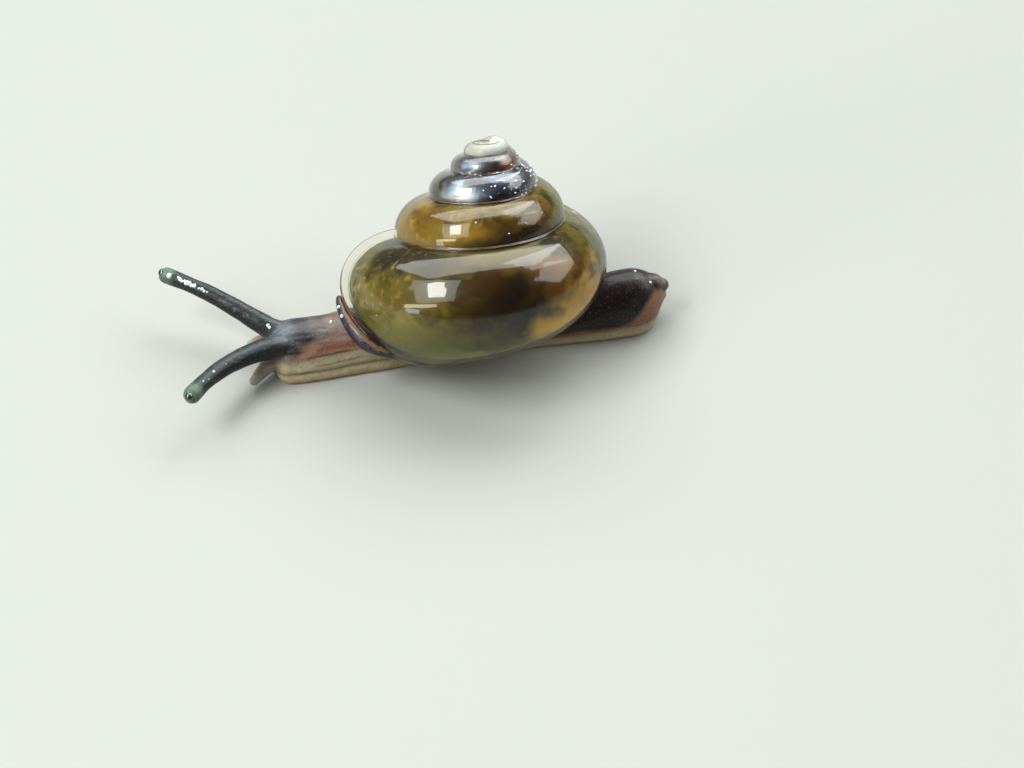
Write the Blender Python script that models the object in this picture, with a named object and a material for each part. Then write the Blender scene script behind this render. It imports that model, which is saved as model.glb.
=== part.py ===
"""Habroconus, a small glassy land snail, crawling: a still model at life size.

The head points along -X and the sole lies flat on z = 0. The shell is a
right-handed spiral whose axis leans over the animal's right side, +Y.
Lengths are in millimetres and turn into metres when a mesh is stored.
"""

import math

import bmesh
import bpy
from mathutils import Euler, Matrix, Vector

MM = 0.001
GAP = 0.04  # clearance between pieces that touch

# Shell: each whorl is the last one shrunk towards the tip of one cone
WHORL_GROWTH = 1.563
WHORL_COUNT = 4.74
SECTION_RADIUS = 1.427  # from the axis to the middle of the last section
SECTION_DROP = 3.725  # from the cone's tip to the middle of the last section
SECTION_LONG = 1.600  # half axes of the oval section
SECTION_SHORT = 1.344
SECTION_TILT = math.radians(21.2)
CONE_TIP = Vector((0.31, 1.59, 4.36))
AXIS_LEAN = math.radians(27.9)  # away from upright, over the right side
AXIS_YAW = math.radians(-11.0)
LIP_START = -0.07  # turns, where the lip leaves the suture
LIP_SLANT = 0.296  # turns that the lip falls back by, from suture to axis
LIP_NOTCH = 0.012  # turns that it falls back by besides, where the collar laps over it
LIP_NOTCH_ANGLE = math.radians(-40)
LIP_NOTCH_SPREAD = math.radians(26)
FLARE = 0.055  # swelling of the section at the lip's outer side, as a share of its size
FLARE_LENGTH = 0.12  # turns
FLARE_ANGLE = math.radians(12)  # where on the section it is greatest
FLARE_SPREAD = math.radians(50)
APEX_DROP = 0.26  # from the cone's tip to the top of the first whorl
ROWS_PER_TURN = 44
WALL_COLUMNS = 7
BASE_COLUMNS = 12

# Mantle collar: a roll of flesh along the lip, which laps over the shell's edge beside the neck.
# Pairs hold the value inside the mouth, and the one where the roll laps over the edge.
COLLAR_DEPTH = 0.24  # half axes of its oval section
COLLAR_THICKNESS = (0.20, 0.33)
COLLAR_INSET = (0.22, -0.06)  # from the shell's surface to the middle of the roll
COLLAR_AHEAD = (0.12, 0.23)  # from the lip's edge to the middle of the roll
COLLAR_FIRST = math.radians(-18)  # angles on the section, from the side of the lip to near the axis
COLLAR_LAP_END = math.radians(-64)
COLLAR_LAP_FADE = math.radians(5)
COLLAR_LAST = math.radians(-142)
COLLAR_STEPS = 34
COLLAR_BLUNTNESS = 0.55
COLLAR_TIP = 0.2  # size of the roll's ends beside its middle

# Foot and body, from the front of the head to the end of the tail
HEAD_FRONT = -4.62
TAIL_END = 3.76
HEAD_CAP = 0.37
TAIL_CAP = 0.78
TAIL_OVERHANG = 0.20  # how far the sole's end lies behind the back's
CAP_LEVEL = 0.34  # height at which the two rounded ends close
CAP_SHARES = (0.02, 0.09, 0.22, 0.4, 0.62, 0.84)  # rings along a rounded end
HALF_WIDTHS = (
    (-4.6, 0.69),
    (-4.0, 0.75),
    (-3.0, 0.72),
    (-1.0, 0.66),
    (1.0, 0.64),
    (2.4, 0.71),
    (3.8, 0.68),
)
BACK_HEIGHTS = (
    (-4.6, 0.84),
    (-4.1, 0.95),
    (-3.4, 0.97),
    (-2.7, 1.10),
    (-1.2, 1.05),
    (0.2, 0.76),
    (1.2, 0.80),
    (2.1, 1.02),
    (2.9, 1.16),
    (3.8, 1.10),
)
RING_LEVELS = (0.0, 0.045, 0.11, 0.175, 0.215, 0.25, 0.285, 0.33, 0.42, 0.54, 0.67, 0.79, 0.89, 0.96)
RING_STEP = 0.2
ARCH_POWER = 2.2
ARCH_WIDTH = 0.97  # of the half width, above the foot's fringe
FRINGE = 0.035  # how far the foot's edge stands out
FRINGE_LEVEL = 0.11  # levels are shares of the back's height
FRINGE_SPREAD = 0.08
FURROW_DEPTH = 0.05
FURROW_LEVEL = 0.25
FURROW_SPREAD = 0.04
SOLE_TUCK = 0.05

# Stalk that carries the shell
STALK_LENGTHWAYS = Vector((-0.87, 0.30, 0.38))
STALK_SIDEWAYS = Vector((0.42, 0.86, 0.29))
STALK_RINGS = (  # the middle of each ring, and its two half axes
    (Vector((-1.46, -0.50, 1.78)), 1.28, 1.00),
    (Vector((-1.58, -0.30, 1.38)), 1.20, 0.92),
    (Vector((-1.62, -0.22, 1.15)), 1.08, 0.80),
    (Vector((-1.66, -0.13, 0.92)), 1.00, 0.66),
    (Vector((-1.68, -0.06, 0.70)), 0.98, 0.50),
    (Vector((-1.70, 0.00, 0.50)), 0.85, 0.35),
)
STALK_SIDES = 22

# Upper tentacles, with the eyes, and the short lower ones
UPPER_RADII = (0.29, 0.27, 0.25, 0.23, 0.205, 0.215)
UPPER_LEFT = (
    Vector((-4.28, -0.20, 0.62)),
    Vector((-4.64, -0.32, 0.76)),
    Vector((-5.14, -0.58, 0.88)),
    Vector((-5.64, -0.91, 0.96)),
    Vector((-6.06, -1.29, 1.02)),
    Vector((-6.36, -1.62, 1.05)),
)
UPPER_RIGHT = (
    Vector((-4.28, 0.21, 0.60)),
    Vector((-4.60, 0.38, 0.76)),
    Vector((-5.04, 0.73, 0.92)),
    Vector((-5.50, 1.11, 1.05)),
    Vector((-5.97, 1.46, 1.14)),
    Vector((-6.37, 1.74, 1.19)),
)
LOWER_RADII = (0.23, 0.22, 0.18, 0.14)
LOWER_LEFT = (
    Vector((-4.38, -0.28, 0.44)),
    Vector((-4.60, -0.38, 0.38)),
    Vector((-4.81, -0.51, 0.29)),
    Vector((-4.98, -0.63, 0.20)),
)
LOWER_RIGHT = (
    Vector((-4.34, 0.24, 0.40)),
    Vector((-4.54, 0.32, 0.34)),
    Vector((-4.72, 0.40, 0.26)),
    Vector((-4.86, 0.46, 0.19)),
)
TUBE_SIDES = 14
TUBE_STEPS = 3  # rings between two points of a path
DOME_ANGLES = tuple(math.radians(rise) for rise in (25, 50, 72))
EYE_RADIUS = 0.10
EYE_SINK = 0.04  # the eye stands this far out of the tentacle's end
EYE_SEGMENTS = 14
ROUND = Vector((1.0, 1.0, 1.0))

# Mouth, and the horn over the slime pit at the tail's end
MOUTH = Vector((HEAD_FRONT + 0.08, 0.0, 0.20))
LIP_RADII = Vector((0.15, 0.32, 0.09))
LOWER_LIP_SET_BACK = 0.03
MOUTH_SLIT = Vector((0.30, 0.27, 0.03))
HORN_PATH = (
    Vector((3.10, 0.0, 0.62)),
    Vector((3.30, 0.0, 0.76)),
    Vector((3.48, 0.0, 0.77)),
    Vector((3.62, 0.0, 0.74)),
)
HORN_RADII = (0.28, 0.30, 0.26, 0.17)
PIT_RADII = Vector((0.20, 0.05, 0.22))
PIT_LEVEL = 0.38

# Cuts that part the flesh, and a point near the middle of each piece
NECK_CUT = -3.98
TRUNK_CUT = -2.95
TAIL_CUT = 1.45
BODY_CUT_REACH = 2.6
UPPER_CUTS = ((1, 0.25), (3, 0.0))  # point of the path, and share of the way to the next one
UPPER_CUT_REACH = 0.45
LOWER_CUT = (1, 0.6)
LOWER_CUT_REACH = 0.30
NAMED_POINTS = {
    "head": Vector((-4.50, 0.0, 0.35)),
    "neck": Vector((-3.40, 0.0, 0.45)),
    "trunk": Vector((-0.80, 0.0, 0.50)),
    "tail": Vector((3.00, 0.0, 0.50)),
    "upper_tentacle_left_root": UPPER_LEFT[2],
    "upper_tentacle_left_end": UPPER_LEFT[5],
    "upper_tentacle_right_root": UPPER_RIGHT[2],
    "upper_tentacle_right_end": UPPER_RIGHT[5],
    "lower_tentacle_left": LOWER_LEFT[3],
    "lower_tentacle_right": LOWER_RIGHT[3],
}
SMALLEST_PIECE = 0.01  # cubic millimetres; less is a scrap of a cut
MOST_STRETCH = 1.8  # of the clearance, at a sharp edge
SHARP_ANGLE = math.radians(35)


def new_object(name, bm):
    """An object with this bmesh, its faces turned outwards."""
    bmesh.ops.recalc_face_normals(bm, faces=bm.faces)
    mesh = bpy.data.meshes.new(name)
    bm.to_mesh(mesh)
    bm.free()
    thing = bpy.data.objects.new(name, mesh)
    bpy.context.scene.collection.objects.link(thing)
    return thing


def remove(thing):
    mesh = thing.data
    bpy.data.objects.remove(thing)
    bpy.data.meshes.remove(mesh)


def combine(base, others, operation):
    """The base object after one Boolean with all the others, which are removed."""
    group = bpy.data.collections.new("operands")
    bpy.context.scene.collection.children.link(group)
    for other in others:
        group.objects.link(other)
    modifier = base.modifiers.new("combine", "BOOLEAN")
    modifier.operation = operation
    modifier.operand_type = "COLLECTION"
    modifier.collection = group
    modifier.solver = "EXACT"
    graph = bpy.context.evaluated_depsgraph_get()
    result = bpy.data.meshes.new_from_object(base.evaluated_get(graph))
    base.modifiers.clear()
    old = base.data
    base.data = result
    bpy.data.meshes.remove(old)
    for other in others:
        remove(other)
    bpy.data.collections.remove(group)
    return base


def closed_surfaces(bm):
    """The loose pieces of a mesh, as lists of faces."""
    left = set(bm.faces)
    pieces = []
    while left:
        front = [left.pop()]
        piece = list(front)
        while front:
            face = front.pop()
            for edge in face.edges:
                for other in edge.link_faces:
                    if other in left:
                        left.remove(other)
                        front.append(other)
                        piece.append(other)
        pieces.append(piece)
    return pieces


def piece_volume(faces):
    volume = 0.0
    for face in faces:
        corners = [v.co for v in face.verts]
        for second, third in zip(corners[1:], corners[2:]):
            volume += corners[0].dot(second.cross(third)) / 6
    return volume


def keep_largest(thing):
    """Drops the loose scraps that a Boolean may leave."""
    bm = bmesh.new()
    bm.from_mesh(thing.data)
    pieces = sorted(closed_surfaces(bm), key=piece_volume)
    for piece in pieces[:-1]:
        bmesh.ops.delete(bm, geom=piece, context="FACES")
    bm.to_mesh(thing.data)
    bm.free()
    return thing


def grown(thing, distance):
    """A copy whose surface lies this far outside the object's own."""
    bm = bmesh.new()
    bm.from_mesh(thing.data)
    bm.normal_update()
    moves = [v.normal * distance * min(v.calc_shell_factor(), MOST_STRETCH) for v in bm.verts]
    for v, move in zip(bm.verts, moves):
        v.co += move
    return new_object("clearance", bm)


def smooth_value(x, table):
    """A smooth curve through the table's (x, value) pairs."""
    if x <= table[0][0]:
        return table[0][1]
    for k in range(len(table) - 1):
        x0, v0 = table[k]
        x1, v1 = table[k + 1]
        if x > x1:
            continue
        before = table[max(k - 1, 0)]
        after = table[min(k + 2, len(table) - 1)]
        m0 = (v1 - before[1]) / (x1 - before[0])
        m1 = (after[1] - v0) / (after[0] - x0)
        span = x1 - x0
        u = (x - x0) / span
        ease = u * u * (3 - 2 * u)
        return v0 + (v1 - v0) * ease + span * u * (1 - u) * (m0 * (1 - u) - m1 * u)
    return table[-1][1]


def bump(x, middle, width):
    return math.exp(-(((x - middle) / width) ** 2))


def section_point(angle, turns):
    """A point of the shell's surface in the shell's own frame: z is the axis and the cone's tip is at 0."""
    scale = WHORL_GROWTH**-turns
    swell = 1 + FLARE * bump(turns, 0, FLARE_LENGTH) * bump(angle, FLARE_ANGLE, FLARE_SPREAD)
    along = SECTION_LONG * swell * math.cos(angle)
    across = SECTION_SHORT * swell * math.sin(angle)
    radius = SECTION_RADIUS + along * math.cos(SECTION_TILT) - across * math.sin(SECTION_TILT)
    height = -SECTION_DROP + along * math.sin(SECTION_TILT) + across * math.cos(SECTION_TILT)
    turned = -math.pi + 2 * math.pi * turns
    return Vector((radius * math.cos(turned), radius * math.sin(turned), height)) * scale


def suture_angles():
    """Where a section's oval leaves the whorl above it: the angle on its own oval, and on the one above."""

    def place_on_larger(angle):
        point = section_point(angle, 1.0)
        radius = math.hypot(point.x, point.y) - SECTION_RADIUS
        height = point.z + SECTION_DROP
        along = radius * math.cos(SECTION_TILT) + height * math.sin(SECTION_TILT)
        across = height * math.cos(SECTION_TILT) - radius * math.sin(SECTION_TILT)
        return along / SECTION_LONG, across / SECTION_SHORT

    inside = math.radians(-60.0)
    outside = 0.0
    for _ in range(40):
        middle = (inside + outside) / 2
        if math.hypot(*place_on_larger(middle)) > 1:
            outside = middle
        else:
            inside = middle
    along, across = place_on_larger(inside)
    return math.atan2(across, along), inside


def axis_angle():
    """The angle at which the underside of a section reaches the shell's axis."""
    reach = math.hypot(SECTION_LONG * math.cos(SECTION_TILT), SECTION_SHORT * math.sin(SECTION_TILT))
    lead = math.atan2(SECTION_SHORT * math.sin(SECTION_TILT), SECTION_LONG * math.cos(SECTION_TILT))
    return -math.acos(-SECTION_RADIUS / reach) - lead


UPPER_SUTURE, LOWER_SUTURE = suture_angles()
AXIS_ANGLE = axis_angle()


def lip_turns(angle):
    """How far back along the spiral the lip lies at this angle of the section."""
    share = (UPPER_SUTURE - angle) / (UPPER_SUTURE - AXIS_ANGLE)
    return LIP_START + LIP_SLANT * share + LIP_NOTCH * bump(angle, LIP_NOTCH_ANGLE, LIP_NOTCH_SPREAD)


def shell_surface():
    """The whole shell as one closed surface: its walls meet point to point along the sutures."""
    columns = WALL_COLUMNS + BASE_COLUMNS
    last_row = round(WHORL_COUNT * ROWS_PER_TURN)
    angles = []
    for j in range(columns + 1):
        if j <= WALL_COLUMNS:
            angles.append(UPPER_SUTURE + (LOWER_SUTURE - UPPER_SUTURE) * j / WALL_COLUMNS)
        else:
            share = (j - WALL_COLUMNS) / BASE_COLUMNS
            angles.append(LOWER_SUTURE + (AXIS_ANGLE - LOWER_SUTURE) * share)

    def turns_at(i, j):
        turns = LIP_START + i / ROWS_PER_TURN
        fade = max(1 - i / ROWS_PER_TURN, 0)
        at_lip = lip_turns(angles[j]) - LIP_START
        base_share = max(j - WALL_COLUMNS, 0) / BASE_COLUMNS
        return turns + fade * at_lip + (1 - fade) * base_share * LIP_SLANT

    bm = bmesh.new()
    verts = {}
    for i in range(last_row + 1):
        for j in range((columns if i <= ROWS_PER_TURN else WALL_COLUMNS) + 1):
            if i >= ROWS_PER_TURN and j == WALL_COLUMNS:
                verts[i, j] = verts[i - ROWS_PER_TURN, 0]
                continue
            verts[i, j] = bm.verts.new(section_point(angles[j], turns_at(i, j)))
    for i in range(last_row):
        for j in range(columns if i < ROWS_PER_TURN else WALL_COLUMNS):
            bm.faces.new((verts[i, j], verts[i + 1, j], verts[i + 1, j + 1], verts[i, j + 1]))
    mouth = [verts[0, j] for j in range(columns + 1)]
    mouth += [verts[i, columns] for i in range(1, ROWS_PER_TURN + 1)]
    mouth += [verts[ROWS_PER_TURN, j] for j in range(columns - 1, WALL_COLUMNS, -1)]
    bm.faces.new(mouth)
    top = bm.verts.new((0, 0, -APEX_DROP))
    rim = [verts[i, 0] for i in range(last_row - ROWS_PER_TURN, last_row + 1)]
    rim += [verts[last_row, j] for j in range(1, WALL_COLUMNS)]
    for first, second in zip(rim, rim[1:] + rim[:1]):
        bm.faces.new((first, second, top))
    bm.normal_update()
    bmesh.ops.triangulate(bm, faces=bm.faces, quad_method="BEAUTY", ngon_method="BEAUTY")
    return bm


def shell_matrix():
    turn = Euler((-AXIS_LEAN, 0.0, AXIS_YAW)).to_matrix().to_4x4()
    return Matrix.Translation(CONE_TIP) @ turn


def make_shell():
    bm = shell_surface()
    bmesh.ops.transform(bm, matrix=shell_matrix(), verts=bm.verts)
    return new_object("shell", bm)


def round_ring(centre, first, second, sides=TUBE_SIDES):
    """Points round an oval with these two half axes."""
    turns = [2 * math.pi * side / sides for side in range(sides)]
    return [centre + first * math.cos(turn) + second * math.sin(turn) for turn in turns]


def middle_of(points):
    return sum(points, Vector()) / len(points)


def ring_tube(rings, start, end):
    """Closes a row of rings of points into a tube that ends in the two given points."""
    bm = bmesh.new()
    rows = [[bm.verts.new(point) for point in ring] for ring in rings]
    count = len(rings[0])
    for row, after in zip(rows, rows[1:]):
        for k in range(count):
            bm.faces.new((row[k], row[(k + 1) % count], after[(k + 1) % count], after[k]))
    for row, tip in ((rows[0], start), (rows[-1], end)):
        point = bm.verts.new(tip)
        for k in range(count):
            bm.faces.new((row[k], row[(k + 1) % count], point))
    return bm


def section_middle(turns):
    """The middle of the section's oval, in the shell's own frame."""
    turned = -math.pi + 2 * math.pi * turns
    middle = Vector((SECTION_RADIUS * math.cos(turned), SECTION_RADIUS * math.sin(turned), -SECTION_DROP))
    return middle * WHORL_GROWTH**-turns


def between(pair, share):
    return pair[0] + (pair[1] - pair[0]) * share


def make_collar():
    """The roll along the lip, flattened across the growth direction and thin at both ends."""
    rings = []
    for k in range(COLLAR_STEPS + 1):
        share = k / COLLAR_STEPS
        angle = COLLAR_FIRST + (COLLAR_LAST - COLLAR_FIRST) * share
        full = max(math.sin(math.pi * share), 0.0) ** COLLAR_BLUNTNESS
        lap = 1 / (1 + math.exp((COLLAR_LAP_END - angle) / COLLAR_LAP_FADE))
        edge = section_point(angle, lip_turns(angle))
        around_axis = 2 * math.pi * math.hypot(edge.x, edge.y)
        turns = lip_turns(angle) - between(COLLAR_AHEAD, lap) / around_axis
        outer = section_point(angle, turns)
        forward = (outer - edge).normalized()
        inward = section_middle(turns) - outer
        inward = (inward - forward * inward.dot(forward)).normalized()
        size = COLLAR_TIP + (1 - COLLAR_TIP) * full
        centre = outer + inward * between(COLLAR_INSET, lap) * size
        depth = COLLAR_DEPTH * size
        thickness = between(COLLAR_THICKNESS, lap) * size
        rings.append(round_ring(centre, inward * depth, forward * thickness))
    bm = ring_tube(rings, middle_of(rings[0]), middle_of(rings[-1]))
    bmesh.ops.transform(bm, matrix=shell_matrix(), verts=bm.verts)
    return new_object("mantle_collar", bm)


def body_ring(x):
    """One cross-section of the foot and back, with a flat sole, a fringe and the furrow above it."""
    width = smooth_value(x, HALF_WIDTHS)
    height = smooth_value(x, BACK_HEIGHTS)
    closing = 1.0
    if x < HEAD_FRONT + HEAD_CAP:
        closing = math.sqrt(max(1 - ((HEAD_FRONT + HEAD_CAP - x) / HEAD_CAP) ** 2, 0))
    into_cap = max((x - TAIL_END + TAIL_CAP) / TAIL_CAP, 0)
    if into_cap > 0:
        closing = math.sqrt(max(1 - into_cap**2, 0))
    half = []
    for level in RING_LEVELS:
        arch = ARCH_WIDTH * width * (1 - level**ARCH_POWER) ** (1 / ARCH_POWER)
        fringe = FRINGE * bump(level, FRINGE_LEVEL, FRINGE_SPREAD)
        tuck = SOLE_TUCK * bump(level, 0.0, FURROW_SPREAD)
        furrow = FURROW_DEPTH * bump(level, FURROW_LEVEL, FURROW_SPREAD)
        half.append((arch + fringe - tuck - furrow, level * height))
    sole = [half[0][0] * share for share in (-0.5, 0.0, 0.5)]
    outline = [(-y, z) for y, z in reversed(half)]
    outline += [(y, 0.0) for y in sole]
    outline += half
    outline.append((0.0, height))
    ring = []
    for y, z in outline:
        back = TAIL_OVERHANG * into_cap * (1 - z / height)
        ring.append(Vector((x - back, y * closing, CAP_LEVEL + (z - CAP_LEVEL) * closing)))
    return ring


def make_body():
    """The foot, back and head as one closed form with rounded ends."""
    stations = []
    for length, end, inner in ((HEAD_CAP, HEAD_FRONT, 1), (TAIL_CAP, TAIL_END, -1)):
        for share in CAP_SHARES:
            stations.append(end + inner * length * share)
    straight = TAIL_END - TAIL_CAP - HEAD_FRONT - HEAD_CAP
    count = round(straight / RING_STEP)
    stations += [HEAD_FRONT + HEAD_CAP + straight * k / count for k in range(count + 1)]
    rings = [body_ring(x) for x in sorted(stations)]
    start = Vector((HEAD_FRONT, 0, CAP_LEVEL))
    end = Vector((TAIL_END, 0, CAP_LEVEL))
    return new_object("body", ring_tube(rings, start, end))


def path_samples(points, radii):
    """Points, radii and directions along a smooth curve through the path's points."""
    samples = []
    last = len(points) - 1
    for k in range(last):
        before = points[max(k - 1, 0)]
        after = points[min(k + 2, last)]
        m0 = (points[k + 1] - before) / (1 if k == 0 else 2)
        m1 = (after - points[k]) / (1 if k == last - 1 else 2)
        for step in range(TUBE_STEPS + (k == last - 1)):
            u = step / TUBE_STEPS
            ease = u * u * (3 - 2 * u)
            place = points[k].lerp(points[k + 1], ease) + (m0 * (1 - u) - m1 * u) * u * (1 - u)
            samples.append((place, radii[k] + (radii[k + 1] - radii[k]) * ease))
    return samples


def tapered_tube(points, radii):
    """A round tube along the path with a dome at its far end, and the dome's furthest point."""
    samples = path_samples(points, radii)
    places = [place for place, _ in samples]
    rings = []
    for k, (place, radius) in enumerate(samples):
        along = (places[min(k + 1, len(places) - 1)] - places[max(k - 1, 0)]).normalized()
        across = along.cross(Vector((0, 0, 1))).normalized()
        up = across.cross(along)
        rings.append(round_ring(place, across * radius, up * radius))
    for rise in DOME_ANGLES:
        centre = place + along * radius * math.sin(rise)
        spoke = radius * math.cos(rise)
        rings.append(round_ring(centre, across * spoke, up * spoke))
    tip = place + along * radius
    return new_object("tube", ring_tube(rings, places[0], tip)), tip


def make_stalk():
    """Flesh between the foot and the shell's mouth."""
    rings = []
    for centre, length, width in STALK_RINGS:
        rings.append(round_ring(centre, STALK_LENGTHWAYS * length, STALK_SIDEWAYS * width, STALK_SIDES))
    return new_object("stalk", ring_tube(rings, middle_of(rings[0]), middle_of(rings[-1])))


def ellipsoid(centre, radii, segments=20):
    bm = bmesh.new()
    bmesh.ops.create_uvsphere(bm, u_segments=segments, v_segments=round(segments * 0.6), radius=1.0)
    size = Matrix.Diagonal((*radii, 1.0))
    bmesh.ops.transform(bm, matrix=Matrix.Translation(centre) @ size, verts=bm.verts)
    return new_object("ellipsoid", bm)


def thin_cut(centre, direction, reach):
    """A disc as thin as the clearance, square to the direction."""
    bm = bmesh.new()
    bmesh.ops.create_cone(bm, cap_ends=True, segments=24, radius1=reach, radius2=reach, depth=GAP)
    turn = direction.to_track_quat("Z", "Y").to_matrix().to_4x4()
    bmesh.ops.transform(bm, matrix=Matrix.Translation(centre) @ turn, verts=bm.verts)
    return new_object("cut", bm)


def cut_across(points, index, share, reach):
    """A thin cut across a path, between one of its points and the next."""
    place = points[index].lerp(points[index + 1], share)
    return thin_cut(place, points[index + 1] - points[index], reach)


def material(name, colour, roughness):
    made = bpy.data.materials.new(name)
    made.use_nodes = True
    shader = made.node_tree.nodes["Principled BSDF"]
    shader.inputs["Base Color"].default_value = (*colour, 1.0)
    shader.inputs["Roughness"].default_value = roughness
    shader.inputs["Metallic"].default_value = 0.0
    return made


def named_pieces(flesh, points):
    """Splits the cut flesh into its loose pieces, each named for the point its middle is nearest to."""
    whole = bmesh.new()
    whole.from_mesh(flesh.data)
    found = {}
    for faces in closed_surfaces(whole):
        if piece_volume(faces) < SMALLEST_PIECE:
            continue
        middle = sum((face.calc_center_median() for face in faces), Vector()) / len(faces)
        name = min(points, key=lambda key: (points[key] - middle).length)
        bm = bmesh.new()
        copies = {}
        for face in faces:
            for v in face.verts:
                if v not in copies:
                    copies[v] = bm.verts.new(v.co)
            bm.faces.new([copies[v] for v in face.verts])
        found[name] = new_object(name, bm)
    whole.free()
    remove(flesh)
    return found


def corners(thing):
    return [v.co for v in thing.data.vertices]


def finish_node(name, thing, finish, parent):
    """Turns millimetres into metres and gives the piece its name, material and parent."""
    thing.name = name
    thing.data.name = name
    thing.data.transform(Matrix.Scale(MM, 4))
    thing.data.materials.clear()
    thing.data.materials.append(finish)
    thing.data.shade_smooth()
    thing.data.set_sharp_from_angle(angle=SHARP_ANGLE)
    thing.parent = parent


def main():
    for thing in list(bpy.data.objects):
        bpy.data.objects.remove(thing)

    amber = material("amber_shell", (0.36, 0.25, 0.07), 0.12)
    dark_skin = material("dark_skin", (0.07, 0.08, 0.11), 0.35)
    pale_skin = material("pale_skin", (0.42, 0.38, 0.28), 0.4)
    tail_skin = material("tail_skin", (0.16, 0.12, 0.09), 0.4)
    mantle = material("mantle", (0.12, 0.06, 0.07), 0.3)
    eye_black = material("eye_black", (0.01, 0.01, 0.012), 0.1)

    shell = make_shell()
    collar = keep_largest(combine(make_collar(), [grown(shell, GAP)], "DIFFERENCE"))

    left_tube, left_tip = tapered_tube(UPPER_LEFT, UPPER_RADII)
    right_tube, right_tip = tapered_tube(UPPER_RIGHT, UPPER_RADII)
    lower_tubes = [tapered_tube(path, LOWER_RADII)[0] for path in (LOWER_LEFT, LOWER_RIGHT)]
    horn = tapered_tube(HORN_PATH, HORN_RADII)[0]
    upper_lip = ellipsoid(MOUTH + Vector((0, 0, LIP_RADII.z)), LIP_RADII)
    lower_lip = ellipsoid(MOUTH - Vector((-LOWER_LIP_SET_BACK, 0, LIP_RADII.z)), LIP_RADII)

    flesh = make_body()
    combine(flesh, [make_stalk(), left_tube, right_tube, *lower_tubes, upper_lip, lower_lip], "UNION")

    eyes = []
    for name, tip, path in (("eye_left", left_tip, UPPER_LEFT), ("eye_right", right_tip, UPPER_RIGHT)):
        direction = (path[-1] - path[-2]).normalized()
        centre = tip - direction * (EYE_RADIUS - EYE_SINK)
        eyes.append((name, centre))

    cuts = [grown(shell, GAP), grown(collar, GAP)]
    cuts.append(ellipsoid(MOUTH - Vector((LIP_RADII.x, 0, 0)), MOUTH_SLIT))
    cuts.append(ellipsoid(Vector((TAIL_END, 0, PIT_LEVEL)), PIT_RADII))
    cuts += [ellipsoid(centre, ROUND * (EYE_RADIUS + GAP), EYE_SEGMENTS) for _, centre in eyes]
    for x in (NECK_CUT, TRUNK_CUT, TAIL_CUT):
        cuts.append(thin_cut(Vector((x, 0, 0)), Vector((1, 0, 0)), BODY_CUT_REACH))
    for path in (UPPER_LEFT, UPPER_RIGHT):
        for index, share in UPPER_CUTS:
            cuts.append(cut_across(path, index, share, UPPER_CUT_REACH))
    for path in (LOWER_LEFT, LOWER_RIGHT):
        cuts.append(cut_across(path, *LOWER_CUT, LOWER_CUT_REACH))
    combine(flesh, cuts, "DIFFERENCE")
    pieces = named_pieces(flesh, NAMED_POINTS)
    horn = combine(horn, [grown(pieces["tail"], GAP)], "DIFFERENCE")
    pieces["caudal_horn"] = keep_largest(horn)
    for name, centre in eyes:
        pieces[name] = ellipsoid(centre, ROUND * EYE_RADIUS, EYE_SEGMENTS)
    pieces["shell"] = shell
    pieces["mantle_collar"] = collar

    finishes = {"shell": amber, "mantle_collar": mantle, "trunk": pale_skin, "tail": tail_skin}
    finishes.update({"caudal_horn": tail_skin, "eye_left": eye_black, "eye_right": eye_black})
    low = Vector(min(c[k] for p in pieces.values() for c in corners(p)) for k in range(3))
    high = Vector(max(c[k] for p in pieces.values() for c in corners(p)) for k in range(3))
    stand = bpy.data.objects.new("stand_point", None)
    bpy.context.scene.collection.objects.link(stand)
    stand.location = Vector((-(low.x + high.x) / 2, -(low.y + high.y) / 2, -low.z)) * MM
    for name, thing in pieces.items():
        finish_node(name, thing, finishes.get(name, dark_skin), stand)


if __name__ == "__main__":
    main()
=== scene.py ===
"""Looks for the still model of a habroconus, a small glassy land snail.

Shapes are worked out in millimetres in the part's working frame, in which the
head points along -X, the sole lies on z = 0 and the body's middle is y = 0.
"place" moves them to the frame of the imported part, in metres.
"""

from math import cos, degrees, exp, hypot, pi, radians, sin, sqrt

import bmesh
import bpy
import numpy as np
from mathutils import Euler, Matrix, Quaternion, Vector, noise


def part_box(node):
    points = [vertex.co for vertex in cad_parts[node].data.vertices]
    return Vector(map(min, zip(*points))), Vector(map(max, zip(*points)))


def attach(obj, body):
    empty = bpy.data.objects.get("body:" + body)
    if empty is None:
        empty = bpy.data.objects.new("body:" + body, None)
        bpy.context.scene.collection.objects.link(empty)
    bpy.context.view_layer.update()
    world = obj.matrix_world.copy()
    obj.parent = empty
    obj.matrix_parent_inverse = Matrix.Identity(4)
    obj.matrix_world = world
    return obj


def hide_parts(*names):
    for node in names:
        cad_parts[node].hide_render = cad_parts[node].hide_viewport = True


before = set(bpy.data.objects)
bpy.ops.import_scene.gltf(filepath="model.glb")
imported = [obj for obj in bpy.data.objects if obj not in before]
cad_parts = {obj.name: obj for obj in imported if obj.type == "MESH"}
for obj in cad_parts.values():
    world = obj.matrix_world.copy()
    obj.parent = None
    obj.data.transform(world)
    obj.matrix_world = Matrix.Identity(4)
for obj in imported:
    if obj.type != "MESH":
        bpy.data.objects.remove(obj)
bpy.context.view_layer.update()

MM = 0.001

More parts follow.
